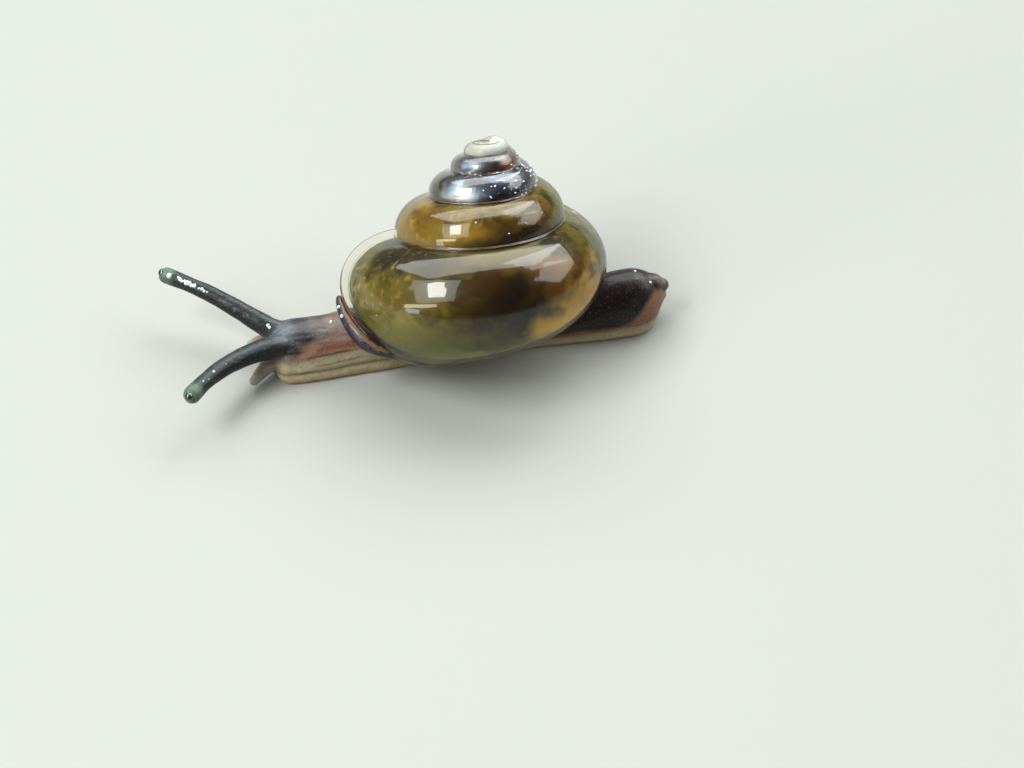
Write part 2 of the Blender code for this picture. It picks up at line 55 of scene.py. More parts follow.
# Shell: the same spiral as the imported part, drawn finer
WHORL_GROWTH = 1.563
WHORL_COUNT = 4.74
SECTION_RADIUS = 1.427
SECTION_DROP = 3.725
SECTION_LONG = 1.600
SECTION_SHORT = 1.344
SECTION_TILT = radians(21.2)
CONE_TIP = Vector((0.31, 1.59, 4.36))
AXIS_LEAN = radians(27.9)
AXIS_YAW = radians(-11.0)
LIP_START = -0.07
LIP_SLANT = 0.296
LIP_NOTCH = 0.012
LIP_NOTCH_ANGLE = radians(-40)
LIP_NOTCH_SPREAD = radians(26)
FLARE = 0.055
FLARE_LENGTH = 0.12
FLARE_ANGLE = radians(12)
FLARE_SPREAD = radians(50)
APEX_DROP = 0.26
UPPER_SUTURE = radians(53.97)
LOWER_SUTURE = radians(-24.01)
AXIS_ANGLE = radians(-173.49)
SHELL_ROWS = 150  # a turn
SHELL_WALL = 26
SHELL_BASE = 44
APEX_RINGS = 5
CUTTER_ROWS = 44
CUTTER_WALL = 7
CUTTER_BASE = 12
CUTTER_MARGIN = 0.03  # the skin stays this clear of the shell and the collar

# The body coiled inside the shell
TISSUE_ROWS = 90
TISSUE_COLUMNS = 96
TISSUE_SEAM = radians(100)
TISSUE_BEHIND_LIP = 0.002  # turns, along the lower lip
TISSUE_BEHIND_TOP = 0.036  # turns more, where the upper lip is clear
TISSUE_DEPTH = 0.08  # below the shell's surface at the shoulder
TISSUE_DEPTH_BASE = 0.10
TISSUE_DEPTH_LIP = 0.06  # added near the lip

# Beads of water on the shell: middle in turns and degrees, spreads, how many, and their largest radius
BEADS = (
    (2.40, 22, 0.10, 18, 70, 0.024),
    (2.45, -14, 0.10, 5, 34, 0.022),
    (3.45, 10, 0.12, 24, 26, 0.020),
    (3.30, -22, 0.25, 4, 34, 0.018),
    (2.28, 2, 0.06, 10, 8, 0.018),
    (1.30, 4, 0.06, 8, 4, 0.026),
    (3.95, -10, 0.35, 10, 16, 0.016),
    (0.22, 27, 0.01, 2, 1, 0.030),
    (0.11, -34, 0.01, 2, 1, 0.026),
)
BEAD_SEED = 11
BEAD_FACETS = 10
BEAD_FLATNESS = 0.8
BEAD_ANGLES = (-23.0, 52.0)  # between the seams of a whorl

# Threads along the lip and the seam
LIP_SIDES = 12
LIP_STEPS = 160
LIP_SINK = 0.01
LIP_HEIGHT = 0.022
LIP_WIDTH = 0.028
LIP_THINNEST = 0.4  # times that, along the upper lip
SUTURE_SIDES = 8
SUTURE_TURNS = 4.4
SUTURE_ROWS = 110  # a turn
SUTURE_RADIUS = 0.014

# Drops of slime: share of the tentacle's length, degrees round it (0 is level and 90 is up), and radius
FAR_DROPS = (
    (0.965, 126, 0.058), (0.885, 114, 0.030), (0.865, 122, 0.044), (0.845, 130, 0.034),
    (0.822, 121, 0.030), (0.800, 128, 0.058), (0.780, 122, 0.050), (0.762, 131, 0.040),
    (0.742, 124, 0.046), (0.700, 128, 0.026), (0.675, 124, 0.036), (0.655, 131, 0.030),
    (0.630, 127, 0.020), (0.165, 122, 0.040), (0.135, 130, 0.032),
)
NEAR_DROPS = (
    (0.86, 114, 0.020), (0.71, 110, 0.028), (0.79, 128, 0.010), (0.60, 118, 0.010),
)
BODY_DROPS = [  # a point near the skin, and radius
    (Vector((-3.26, -0.02, 0.96)), 0.038),
    (Vector((3.07, 0.10, 1.10)), 0.030),
    (Vector((3.30, -0.12, 0.92)), 0.030),
]
DROP_FACETS = 14
COLLAR_DROPS = (  # share of the collar's length, share of the way round it, and radius
    (0.05, 0.60, 0.038),
    (0.10, 0.60, 0.044),
)

# Collar: pairs hold the value inside the mouth, and the one where it laps over the shell's edge
COLLAR_DEPTH = 0.23
COLLAR_THICKNESS = (0.19, 0.32)
COLLAR_INSET = (0.22, -0.06)
COLLAR_AHEAD = (0.12, 0.23)
COLLAR_FIRST = radians(-18)
COLLAR_LAP_END = radians(-64)
COLLAR_LAP_FADE = radians(5)
COLLAR_LAST = radians(-142)
COLLAR_STEPS = 150
COLLAR_SIDES = 40
COLLAR_BLUNTNESS = 0.55
COLLAR_TIP = 0.2

# Foot and body
HEAD_FRONT = -4.62
TAIL_END = 3.76
HEAD_CAP = 0.37
TAIL_CAP = 0.78
TAIL_OVERHANG = 0.20
CAP_LEVEL = 0.34
HALF_WIDTHS = (
    (-4.6, 0.69), (-4.0, 0.75), (-3.0, 0.72), (-1.0, 0.66), (1.0, 0.64), (2.4, 0.71), (3.8, 0.68),
)
BACK_HEIGHTS = (
    (-4.6, 0.84), (-4.1, 0.95), (-3.4, 0.97), (-2.7, 1.10), (-1.2, 1.05), (0.2, 0.76), (1.2, 0.80),
    (2.1, 1.02), (2.9, 1.16), (3.8, 1.10),
)
ARCH_POWER = 2.2
ARCH_WIDTH = 0.97
FRINGE = 0.035
FRINGE_LEVEL = 0.11
FRINGE_SPREAD = 0.08
FURROW_DEPTH = 0.05
FURROW_LEVEL = 0.25
FURROW_SPREAD = 0.04
SOLE_TUCK = 0.05
SOLE_LEVEL = 0.004
BODY_LEVELS = 44
BODY_STEP = 0.06
CAP_STEPS = 18

# Stalk between the foot and the shell's mouth
STALK_LENGTHWAYS = Vector((-0.87, 0.30, 0.38))
STALK_SIDEWAYS = Vector((0.42, 0.86, 0.29))
STALK_RINGS = (
    (Vector((-1.46, -0.50, 1.78)), 1.28, 1.00),
    (Vector((-1.58, -0.30, 1.38)), 1.20, 0.92),
    (Vector((-1.62, -0.22, 1.15)), 1.08, 0.80),
    (Vector((-1.66, -0.13, 0.92)), 1.00, 0.66),
    (Vector((-1.68, -0.06, 0.70)), 0.98, 0.50),
    (Vector((-1.70, 0.00, 0.50)), 0.85, 0.35),
)

# Tentacles, at their thickness in life: the points that each runs through, and its radius there
UPPER_LEFT = (
    (-4.28, -0.20, 0.62, 0.27), (-4.64, -0.32, 0.76, 0.25), (-5.14, -0.58, 0.88, 0.22),
    (-5.64, -0.91, 0.96, 0.20), (-6.06, -1.29, 1.02, 0.185), (-6.36, -1.62, 1.05, 0.20),
)
UPPER_RIGHT = (
    (-4.28, 0.21, 0.60, 0.26), (-4.60, 0.38, 0.76, 0.23), (-5.04, 0.73, 0.92, 0.205),
    (-5.50, 1.11, 1.05, 0.185), (-5.97, 1.46, 1.14, 0.17), (-6.37, 1.74, 1.19, 0.185),
)
LOWER_LEFT = (
    (-4.38, -0.28, 0.44, 0.21), (-4.60, -0.38, 0.38, 0.19), (-4.81, -0.51, 0.29, 0.15),
    (-4.98, -0.63, 0.20, 0.115),
)
LOWER_RIGHT = (
    (-4.34, 0.24, 0.40, 0.21), (-4.54, 0.32, 0.34, 0.19), (-4.72, 0.40, 0.26, 0.15),
    (-4.86, 0.46, 0.19, 0.115),
)
TUBE_SIDES = 28
TUBE_STEPS = 10
TUBE_CAP = tuple(radians(rise) for rise in (15, 30, 45, 60, 75))
STALK_SIDES = 48
EYE_RADIUS = 0.095
EYE_STANDS_OUT = 0.005
EYE_SHIFT = Vector((0, -0.03, 0.05))
EYE_FACETS = 32

# Mouth and tail
MOUTH = Vector((HEAD_FRONT + 0.08, 0.0, 0.20))
LIP_RADII = Vector((0.15, 0.32, 0.09))
LOWER_LIP_SET_BACK = 0.03
HORN = (
    (3.10, 0.0, 0.62, 0.27), (3.30, 0.0, 0.76, 0.29), (3.48, 0.0, 0.77, 0.25),
    (3.62, 0.0, 0.74, 0.16),
)
PIT_LEVEL = 0.38
PIT_DEPTH = 0.10
PIT_HALF_WIDTH = 0.035
PIT_HALF_HEIGHT = 0.16
PIT_FRONT = 3.3

# Skin
SKIN_VOXEL = 0.022
SKIN_INSET = 0.012
SKIN_GRAIN = 0.010  # height of the grooves, which are weaker on the tail and the tentacles
SMOOTH_ROUNDS = 10

# Camera, and how the photograph shows the part
CAMERA_AZIMUTH = -11
CAMERA_ELEVATION = 45
MM_PER_PIXEL = 0.02018
ORIGIN_PIXEL = (488.4, 333.0)
IMAGE_CENTRE = (512.0, 384.0)
FRAMED_DISTANCE = 110.0
CAMERA_DISTANCE = 112.0
SENSOR_WIDTH = 36.0
LAMP_TARGET = Vector((0, 0, 0.0015))  # in metres, as the lamps and the floor are
FLOOR_HALF = 0.6


def srgb(red, green, blue):
    """A colour as seen in a picture, 0 to 255, as linear light."""
    return tuple(((shade / 255 + 0.055) / 1.055) ** 2.4 for shade in (red, green, blue))


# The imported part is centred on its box; its neck starts at a known cut and its tail is symmetric.
NECK_START = -3.96
neck_low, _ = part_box("neck")
tail_low, tail_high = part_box("tail")
STAND = Vector((neck_low.x / MM - NECK_START, (tail_low.y + tail_high.y) / 2 / MM, 0.0))


def place(thing):
    """Moves a piece from the working frame, in millimetres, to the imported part's frame, in metres."""
    thing.data.transform(Matrix.Scale(MM, 4) @ Matrix.Translation(STAND))
    thing.data.update()
    return thing


def add_object(name, data):
    thing = bpy.data.objects.new(name, data)
    bpy.context.scene.collection.objects.link(thing)
    return thing


def new_object(name, points, faces):
    mesh = bpy.data.meshes.new(name)
    mesh.from_pydata([tuple(p) for p in points], [], [tuple(f) for f in faces])
    mesh.update()
    return add_object(name, mesh)


def joined(forms):
    """Puts the points and faces of several forms in one pair of lists."""
    points = []
    faces = []
    for form_points, form_faces in forms:
        start = len(points)
        points += form_points
        faces += [tuple(k + start for k in face) for face in form_faces]
    return points, faces


def smooth_value(x, table):
    """A smooth curve through the table's (x, value) pairs."""
    if x <= table[0][0]:
        return table[0][1]
    for k in range(len(table) - 1):
        x0, v0 = table[k]
        x1, v1 = table[k + 1]
        if x > x1:
            continue
        before = table[max(k - 1, 0)]
        after = table[min(k + 2, len(table) - 1)]
        m0 = (v1 - before[1]) / (x1 - before[0])
        m1 = (after[1] - v0) / (after[0] - x0)
        span = x1 - x0
        u = (x - x0) / span
        ease = u * u * (3 - 2 * u)
        return v0 + (v1 - v0) * ease + span * u * (1 - u) * (m0 * (1 - u) - m1 * u)
    return table[-1][1]


def bump(x, middle, width):
    if isinstance(x, float):
        return exp(-(((x - middle) / width) ** 2))
    return np.exp(-(((x - middle) / width) ** 2))


def ramp(x, low, high):
    """0 below low, 1 above high, smooth between."""
    u = np.clip((x - low) / (high - low), 0, 1)
    return u * u * (3 - 2 * u)


def section_point(angle, turns, inset=0.0):
    """A point of the shell's surface, or of one inside it, in the shell's own frame."""
    scale = WHORL_GROWTH**-turns
    swell = 1 + FLARE * bump(turns, 0, FLARE_LENGTH) * bump(angle, FLARE_ANGLE, FLARE_SPREAD)
    along = (SECTION_LONG * swell - inset) * cos(angle)
    across = (SECTION_SHORT * swell - inset) * sin(angle)
    radius = SECTION_RADIUS + along * cos(SECTION_TILT) - across * sin(SECTION_TILT)
    height = -SECTION_DROP + along * sin(SECTION_TILT) + across * cos(SECTION_TILT)
    turned = -pi + 2 * pi * turns
    return Vector((radius * cos(turned), radius * sin(turned), height)) * scale


def section_middle(turns):
    turned = -pi + 2 * pi * turns
    middle = Vector((SECTION_RADIUS * cos(turned), SECTION_RADIUS * sin(turned), -SECTION_DROP))
    return middle * WHORL_GROWTH**-turns


def lip_turns(angle):
    share = (UPPER_SUTURE - angle) / (UPPER_SUTURE - AXIS_ANGLE)
    return LIP_START + LIP_SLANT * share + LIP_NOTCH * bump(angle, LIP_NOTCH_ANGLE, LIP_NOTCH_SPREAD)


SHELL_MATRIX = Matrix.Translation(CONE_TIP) @ Euler((-AXIS_LEAN, 0.0, AXIS_YAW)).to_matrix().to_4x4()


def store(thing, names, rows):
    """Keeps named numbers for each point of the mesh, for its material to read."""
    for name, values in zip(names, zip(*rows)):
        column = thing.data.attributes.new(name, "FLOAT", "POINT")
        column.data.foreach_set("value", np.asarray(values, np.float32))
    return thing


def spiral_surface(rows, wall, base):
    """The shell's wall in its own frame: points, turns and angles, faces, and the rims of apex and mouth."""
    columns = wall + base
    last_row = round(WHORL_COUNT * rows)
    angles = [UPPER_SUTURE + (LOWER_SUTURE - UPPER_SUTURE) * j / wall for j in range(wall + 1)]
    angles += [LOWER_SUTURE + (AXIS_ANGLE - LOWER_SUTURE) * j / base for j in range(1, base + 1)]
    points = []
    spots = []
    index = {}
    for i in range(last_row + 1):
        fade = max(1 - i / rows, 0)
        for j in range((columns if i <= rows else wall) + 1):
            if i >= rows and j == wall:
                index[i, j] = index[i - rows, 0]
                continue
            base_share = max(j - wall, 0) / base
            at_lip = lip_turns(angles[j]) - LIP_START
            turns = LIP_START + i / rows + fade * at_lip + (1 - fade) * base_share * LIP_SLANT
            index[i, j] = len(points)
            points.append(section_point(angles[j], turns))
            spots.append((turns, degrees(angles[j])))
    faces = [
        (index[i, j], index[i, j + 1], index[i + 1, j + 1], index[i + 1, j])
        for i in range(last_row)
        for j in range(columns if i < rows else wall)
    ]
    rim = [index[i, 0] for i in range(last_row - rows, last_row + 1)]
    rim += [index[last_row, j] for j in range(1, wall)]
    mouth = [index[0, j] for j in range(columns + 1)]
    mouth += [index[i, columns] for i in range(1, rows + 1)]
    mouth += [index[rows, j] for j in range(columns - 1, wall, -1)]
    return points, spots, faces, rim, mouth


def make_shell():
    """The shell's wall as a fine surface, open at the mouth."""
    points, spots, faces, rim, _ = spiral_surface(SHELL_ROWS, SHELL_WALL, SHELL_BASE)
    top = Vector((0, 0, -APEX_DROP))
    ring = rim
    for k in range(1, APEX_RINGS):
        after = []
        for start in rim:
            after.append(len(points))
            points.append(points[start].lerp(top, k / APEX_RINGS))
            spots.append((WHORL_COUNT, 90.0))
        for a, b, c, d in zip(ring, ring[1:] + ring[:1], after[1:] + after[:1], after):
            faces.append((a, d, c, b))
        ring = after
    points.append(top)
    spots.append((WHORL_COUNT, 90.0))
    faces += [(a, len(points) - 1, b) for a, b in zip(ring, ring[1:] + ring[:1])]
    shell = new_object("glass_shell", [SHELL_MATRIX @ point for point in points], faces)
    return store(shell, ("turns", "angle"), spots)


def shell_cutter():
    """The shell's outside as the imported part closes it, a little larger, which keeps the skin clear of it."""
    points, _, faces, rim, mouth = spiral_surface(CUTTER_ROWS, CUTTER_WALL, CUTTER_BASE)
    bm = bmesh.new()
    verts = [bm.verts.new(point) for point in points]
    for face in faces:
        bm.faces.new([verts[k] for k in reversed(face)])
    bm.faces.new([verts[k] for k in mouth])
    top = bm.verts.new((0, 0, -APEX_DROP))
    for a, b in zip(rim, rim[1:] + rim[:1]):
        bm.faces.new((verts[a], verts[b], top))
    bm.normal_update()
    bmesh.ops.triangulate(bm, faces=bm.faces, quad_method="BEAUTY", ngon_method="BEAUTY")
    bmesh.ops.transform(bm, matrix=SHELL_MATRIX, verts=bm.verts)
    bmesh.ops.recalc_face_normals(bm, faces=bm.faces)
    bm.normal_update()
    moves = [v.normal * CUTTER_MARGIN for v in bm.verts]
    for v, move in zip(bm.verts, moves):
        v.co += move
    mesh = bpy.data.meshes.new("shell_cutter")
    bm.to_mesh(mesh)
    bm.free()
    return add_object("shell_cutter", mesh)


def tissue_depth(angle, turns):
    """How far the body lies below the shell's surface."""
    low = float(ramp(-degrees(angle), 20, 90))
    near_lip = exp(-max(turns - lip_turns(angle), 0) / 0.05)
    return TISSUE_DEPTH + (TISSUE_DEPTH_BASE - TISSUE_DEPTH) * low + TISSUE_DEPTH_LIP * near_lip


def make_tissue():
    """The mantle and organs, a coiled body seen through the shell."""
    rings = []
    spots = []
    last_row = round((WHORL_COUNT - 0.02) * TISSUE_ROWS)
    for i in range(last_row + 1):
        fade = max(1 - i / TISSUE_ROWS, 0)
        ring = []
        for j in range(TISSUE_COLUMNS):
            angle = TISSUE_SEAM - 2 * pi * j / TISSUE_COLUMNS
            at_lip = lip_turns(angle) - LIP_START
            behind = TISSUE_BEHIND_LIP + TISSUE_BEHIND_TOP * float(ramp(degrees(angle), -25, 40))
            turns = LIP_START + i / TISSUE_ROWS + fade * (at_lip + behind)
            ring.append(SHELL_MATRIX @ section_point(angle, turns, tissue_depth(angle, turns)))
            spots.append((turns, degrees(angle), turns - LIP_START - at_lip - behind))
        rings.append(ring)
    spots += [(turns, 0.0, back) for turns, _, back in (spots[0], spots[-TISSUE_COLUMNS])]
    return store(new_object("tissue", *closed_tube(rings)), ("turns", "angle", "back"), spots)


def ring_points(centre, first, second, sides):
    turns = [2 * pi * side / sides for side in range(sides)]
    return [centre + first * cos(turn) + second * sin(turn) for turn in turns]


def ring_tube(rings, start, end):
    """Points and faces of a tube through rings of points, closed by the two given points."""
    points = [p for ring in rings for p in ring]
    count = len(rings[0])
    faces = []
    for i in range(len(rings) - 1):
        for k in range(count):
            n = (k + 1) % count
            faces.append((i * count + k, i * count + n, (i + 1) * count + n, (i + 1) * count + k))
    points += [start, end]
    last = (len(rings) - 1) * count
    for k in range(count):
        n = (k + 1) % count
        faces.append((n, k, len(points) - 2))
        faces.append((last + k, last + n, len(points) - 1))
    return points, faces


def middle_of(points):
    return sum(points, Vector()) / len(points)


def closed_tube(rings):
    return ring_tube(rings, middle_of(rings[0]), middle_of(rings[-1]))


def between(pair, share):
    return pair[0] + (pair[1] - pair[0]) * share


def make_collar(margin=0.0):
    """The roll of flesh along the lip, or with a margin the room that the skin leaves it."""
    rings = []
    spots = []
    for k in range(COLLAR_STEPS + 1):
        share = k / COLLAR_STEPS
        angle = COLLAR_FIRST + (COLLAR_LAST - COLLAR_FIRST) * share
        full = max(sin(pi * share), 0.0) ** COLLAR_BLUNTNESS
        lap = 1 / (1 + exp((COLLAR_LAP_END - angle) / COLLAR_LAP_FADE))
        edge = section_point(angle, lip_turns(angle))
        around_axis = 2 * pi * hypot(edge.x, edge.y)
        turns = lip_turns(angle) - between(COLLAR_AHEAD, lap) / around_axis
        outer = section_point(angle, turns)
        forward = (outer - edge).normalized()
        inward = section_middle(turns) - outer
        inward = (inward - forward * inward.dot(forward)).normalized()
        size = COLLAR_TIP + (1 - COLLAR_TIP) * full
        centre = outer + inward * between(COLLAR_INSET, lap) * size
        depth = COLLAR_DEPTH * size + margin
        thickness = between(COLLAR_THICKNESS, lap) * size + margin
        ring = ring_points(centre, inward * depth, forward * thickness, COLLAR_SIDES)
        rings.append([SHELL_MATRIX @ p for p in ring])
        spots += [(share, side / COLLAR_SIDES) for side in range(COLLAR_SIDES)]
    spots += [(0.0, 0.5), (1.0, 0.5)]
    return store(new_object("mantle_edge", *closed_tube(rings)), ("along", "round"), spots)


def thread_ring(angle, turns, ahead, sink, height, width, sides):
    """One ring of a thread on the shell, which runs on to the point ahead."""
    here = section_point(angle, turns)
    along = (ahead - here).normalized()
    out = (here - section_middle(turns)).normalized()
    side = along.cross(out).normalized()
    out = side.cross(along)
    ring = ring_points(here - out * sink, out * height, side * width, sides)
    return [SHELL_MATRIX @ point for point in ring]


def lip_thread():
    """The thin brown thread along the shell's lip."""
    rings = []
    for k in range(LIP_STEPS + 1):
        angle = UPPER_SUTURE + (AXIS_ANGLE - UPPER_SUTURE) * k / LIP_STEPS
        size = LIP_THINNEST + (1 - LIP_THINNEST) * float(ramp(-degrees(angle), -10, 15))
        ahead = section_point(angle - 0.01, lip_turns(angle - 0.01))
        sizes = (LIP_SINK * size, LIP_HEIGHT * size, LIP_WIDTH * size)
        rings.append(thread_ring(angle, lip_turns(angle), ahead, *sizes, LIP_SIDES))
    return new_object("lip_thread", *closed_tube(rings))


def suture_thread():
    """The fine seam where one whorl is laid against the next."""
    rings = []
    steps = round(SUTURE_TURNS * SUTURE_ROWS)
    for k in range(steps + 1):
        turns = SUTURE_TURNS * k / steps
        ahead = section_point(UPPER_SUTURE, turns + 0.005)
        size = SUTURE_RADIUS * WHORL_GROWTH ** (-turns * 0.5)
        rings.append(thread_ring(UPPER_SUTURE, turns, ahead, 0.0, size, size, SUTURE_SIDES))
    return new_object("suture_thread", *closed_tube(rings))


def water_beads():
    """Small beads of water scattered on the shell."""
    chance = np.random.default_rng(BEAD_SEED)
    beads = []
    for turns, angle, turns_spread, angle_spread, count, largest in BEADS:
        for _ in range(count):
            t = turns + turns_spread * chance.normal()
            a = radians(min(max(angle + angle_spread * chance.normal(), BEAD_ANGLES[0]), BEAD_ANGLES[1]))
            radius = largest * chance.uniform(0.35, 1.0) ** 1.5
            centre = SHELL_MATRIX @ section_point(a, t)
            beads.append(ellipsoid(centre, Vector((radius, radius, radius * BEAD_FLATNESS)), BEAD_FACETS))
    return new_object("water_beads", *joined(beads))


def slime_drops(skin, collar):
    """Small drops that catch the light, coloured near white as painted highlights: on the upper tentacles,
    neck, tail and collar.
    """
    spots = []
    for path, drops in ((UPPER_RIGHT, FAR_DROPS), (UPPER_LEFT, NEAR_DROPS)):
        samples = path_samples(path)
        for share, lift, radius in drops:
            k = min(round(share * (len(samples) - 1)), len(samples) - 2)
            along = (samples[k + 1][0] - samples[k][0]).normalized()
            across = along.cross(Vector((0, 0, 1))).normalized()
            turn = radians(lift)
            out = across * cos(turn) + across.cross(along) * sin(turn)
            spots.append((samples[k][0] + out * samples[k][1], radius))
    spots += BODY_DROPS
    bpy.context.view_layer.update()
    spots = [(skin.closest_point_on_mesh(spot)[1], radius) for spot, radius in spots]
    for share, around, radius in COLLAR_DROPS:
        k = round(share * COLLAR_STEPS) * COLLAR_SIDES + round(around * COLLAR_SIDES)
        spots.append((collar.data.vertices[k].co.copy(), radius))
    drops = [ellipsoid(spot, Vector((radius, radius, radius)), DROP_FACETS) for spot, radius in spots]
    return new_object("slime_drops", *joined(drops))


def body_ring(x):
    """One cross-section of the foot and back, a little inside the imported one."""
    width = smooth_value(x, HALF_WIDTHS) - SKIN_INSET
    height = smooth_value(x, BACK_HEIGHTS) - SKIN_INSET
    closing = 1.0
    if x < HEAD_FRONT + HEAD_CAP:
        closing = sqrt(max(1 - ((HEAD_FRONT + HEAD_CAP - x) / HEAD_CAP) ** 2, 0))
    into_cap = max((x - TAIL_END + TAIL_CAP) / TAIL_CAP, 0)
    if into_cap > 0:
        closing = sqrt(max(1 - into_cap**2, 0))
    level = 1 - (1 - np.arange(BODY_LEVELS) / BODY_LEVELS) ** 1.5
    arch = ARCH_WIDTH * width * (1 - level**ARCH_POWER) ** (1 / ARCH_POWER)
    fringe = FRINGE * bump(level, FRINGE_LEVEL, FRINGE_SPREAD)
    tuck = SOLE_TUCK * bump(level, 0.0, FURROW_SPREAD)
    furrow = FURROW_DEPTH * bump(level, FURROW_LEVEL, FURROW_SPREAD)
    side = arch + fringe - tuck - furrow
    half = list(zip(side, np.maximum(level * height, SOLE_LEVEL)))
    outline = [(-y, z) for y, z in reversed(half)] + [(0.0, SOLE_LEVEL)] + half + [(0.0, height)]
    ring = []
    for y, z in outline:
        back = TAIL_OVERHANG * into_cap * (1 - z / height)
        ring.append(Vector((x - back, y * closing, CAP_LEVEL + (z - CAP_LEVEL) * closing)))
    return ring


def make_body():
    stations = []
    for length, end in ((HEAD_CAP, HEAD_FRONT), (-TAIL_CAP, TAIL_END)):
        for k in range(1, CAP_STEPS):
            stations.append(end + length * (1 - cos(pi / 2 * k / CAP_STEPS)))
    straight = TAIL_END - TAIL_CAP - HEAD_FRONT - HEAD_CAP
    count = round(straight / BODY_STEP)
    stations += [HEAD_FRONT + HEAD_CAP + straight * k / count for k in range(count + 1)]
    rings = [body_ring(x) for x in sorted(stations)]
    return ring_tube(rings, Vector((HEAD_FRONT, 0, CAP_LEVEL)), Vector((TAIL_END, 0, CAP_LEVEL)))


def path_samples(path):
    """Points close together on a smooth curve through the path, each with its radius."""
    points = [Vector(row[:3]) for row in path]
    radii = [row[3] for row in path]
    samples = []
    last = len(points) - 1
    for k in range(last):
        before = points[max(k - 1, 0)]
        after = points[min(k + 2, last)]
        m0 = (points[k + 1] - before) / (1 if k == 0 else 2)
        m1 = (after - points[k]) / (1 if k == last - 1 else 2)
        for step in range(TUBE_STEPS + (k == last - 1)):
            u = step / TUBE_STEPS
            ease = u * u * (3 - 2 * u)
            spot = points[k].lerp(points[k + 1], ease) + (m0 * (1 - u) - m1 * u) * u * (1 - u)
            samples.append((spot, radii[k] + (radii[k + 1] - radii[k]) * ease))
    return samples


def tapered_tube(path):
    samples = path_samples(path)
    places = [spot for spot, _ in samples]
    rings = []
    for k, (spot, radius) in enumerate(samples):
        along = (places[min(k + 1, len(places) - 1)] - places[max(k - 1, 0)]).normalized()
        across = along.cross(Vector((0, 0, 1))).normalized()
        up = across.cross(along)
        rings.append(ring_points(spot, across * radius, up * radius, TUBE_SIDES))
    for angle in TUBE_CAP:
        centre = spot + along * radius * sin(angle)
        small = radius * cos(angle)
        rings.append(ring_points(centre, across * small, up * small, TUBE_SIDES))
    return ring_tube(rings, places[0], spot + along * radius)


def ellipsoid(centre, radii, segments=40):
    rings = []
    rows = segments // 2
    for i in range(1, rows):
        lift = -pi / 2 + pi * i / rows
        first = Vector((radii.x * cos(lift), 0, 0))
        second = Vector((0, radii.y * cos(lift), 0))
        rings.append(ring_points(centre + Vector((0, 0, radii.z * sin(lift))), first, second, segments))
    pole = Vector((0, 0, radii.z))
    return ring_tube(rings, centre - pole, centre + pole)


def make_stalk():
    rings = []
    for centre, length, width in STALK_RINGS:
        rings.append(ring_points(centre, STALK_LENGTHWAYS * length, STALK_SIDEWAYS * width, STALK_SIDES))
    return closed_tube(rings)


def modified(thing, kind, **settings):
    """Gives the piece the mesh that a modifier makes of it."""
    modifier = thing.modifiers.new("change", kind)
    for key, value in settings.items():
        setattr(modifier, key, value)
    graph = bpy.context.evaluated_depsgraph_get()
    mesh = bpy.data.meshes.new_from_object(thing.evaluated_get(graph))
    thing.modifiers.clear()
    thing.data = mesh
    return thing


def skin_surface():
    """The flesh as one closed surface, in millimetres."""
    forms = [make_body(), make_stalk()]
    forms += [tapered_tube(path) for path in (UPPER_LEFT, UPPER_RIGHT, LOWER_LEFT, LOWER_RIGHT, HORN)]
    forms.append(ellipsoid(MOUTH + Vector((0, 0, LIP_RADII.z)), LIP_RADII * 0.97))
    forms.append(ellipsoid(MOUTH - Vector((-LOWER_LIP_SET_BACK, 0, LIP_RADII.z)), LIP_RADII * 0.97))
    return modified(new_object("skin", *joined(forms)), "REMESH", mode="VOXEL", voxel_size=SKIN_VOXEL)


def column(items, name):
    """A row of three numbers for each item."""
    values = np.empty(len(items) * 3)
    items.foreach_get(name, values)
    return values.reshape(-1, 3)


def set_points(mesh, points):
    mesh.vertices.foreach_set("co", np.ascontiguousarray(points, np.float32).ravel())
    mesh.update()


def relax(mesh, rounds):
    """Draws each point halfway to the mean of its neighbours, a few times."""
    points = column(mesh.vertices, "co")
    edges = np.empty(len(mesh.edges) * 2, np.int64)
    mesh.edges.foreach_get("vertices", edges)
    a, b = edges.reshape(-1, 2).T
    count = np.bincount(a, minlength=len(points)) + np.bincount(b, minlength=len(points))
    for _ in range(rounds):
        total = np.zeros_like(points)
        for k in range(3):
            total[:, k] = np.bincount(a, points[b, k], len(points))
            total[:, k] += np.bincount(b, points[a, k], len(points))
        points = points * 0.5 + 0.5 * total / count[:, None]
    set_points(mesh, points)


def noise_at(points, scale, shift=0.0):
    """Smooth noise from -1 to 1 at each point, with features about 1/scale millimetres wide."""
    offset = Vector((shift, shift * 1.7, shift * 2.3))
    return np.array([noise.noise(Vector(p) * scale + offset) for p in points])


def nearest_on(path, points):
    """For each point: the share of the path's length nearest to it, and its distance from that, in radii."""
    samples = path_samples(path)
    places = np.array([spot for spot, _ in samples])
    sizes = np.array([radius for _, radius in samples])
    distances = np.linalg.norm(points[:, None, :] - places[None, :, :], axis=2)
    nearest = distances.argmin(axis=1)
    return nearest / (len(samples) - 1), distances[np.arange(len(points)), nearest] / sizes[nearest]


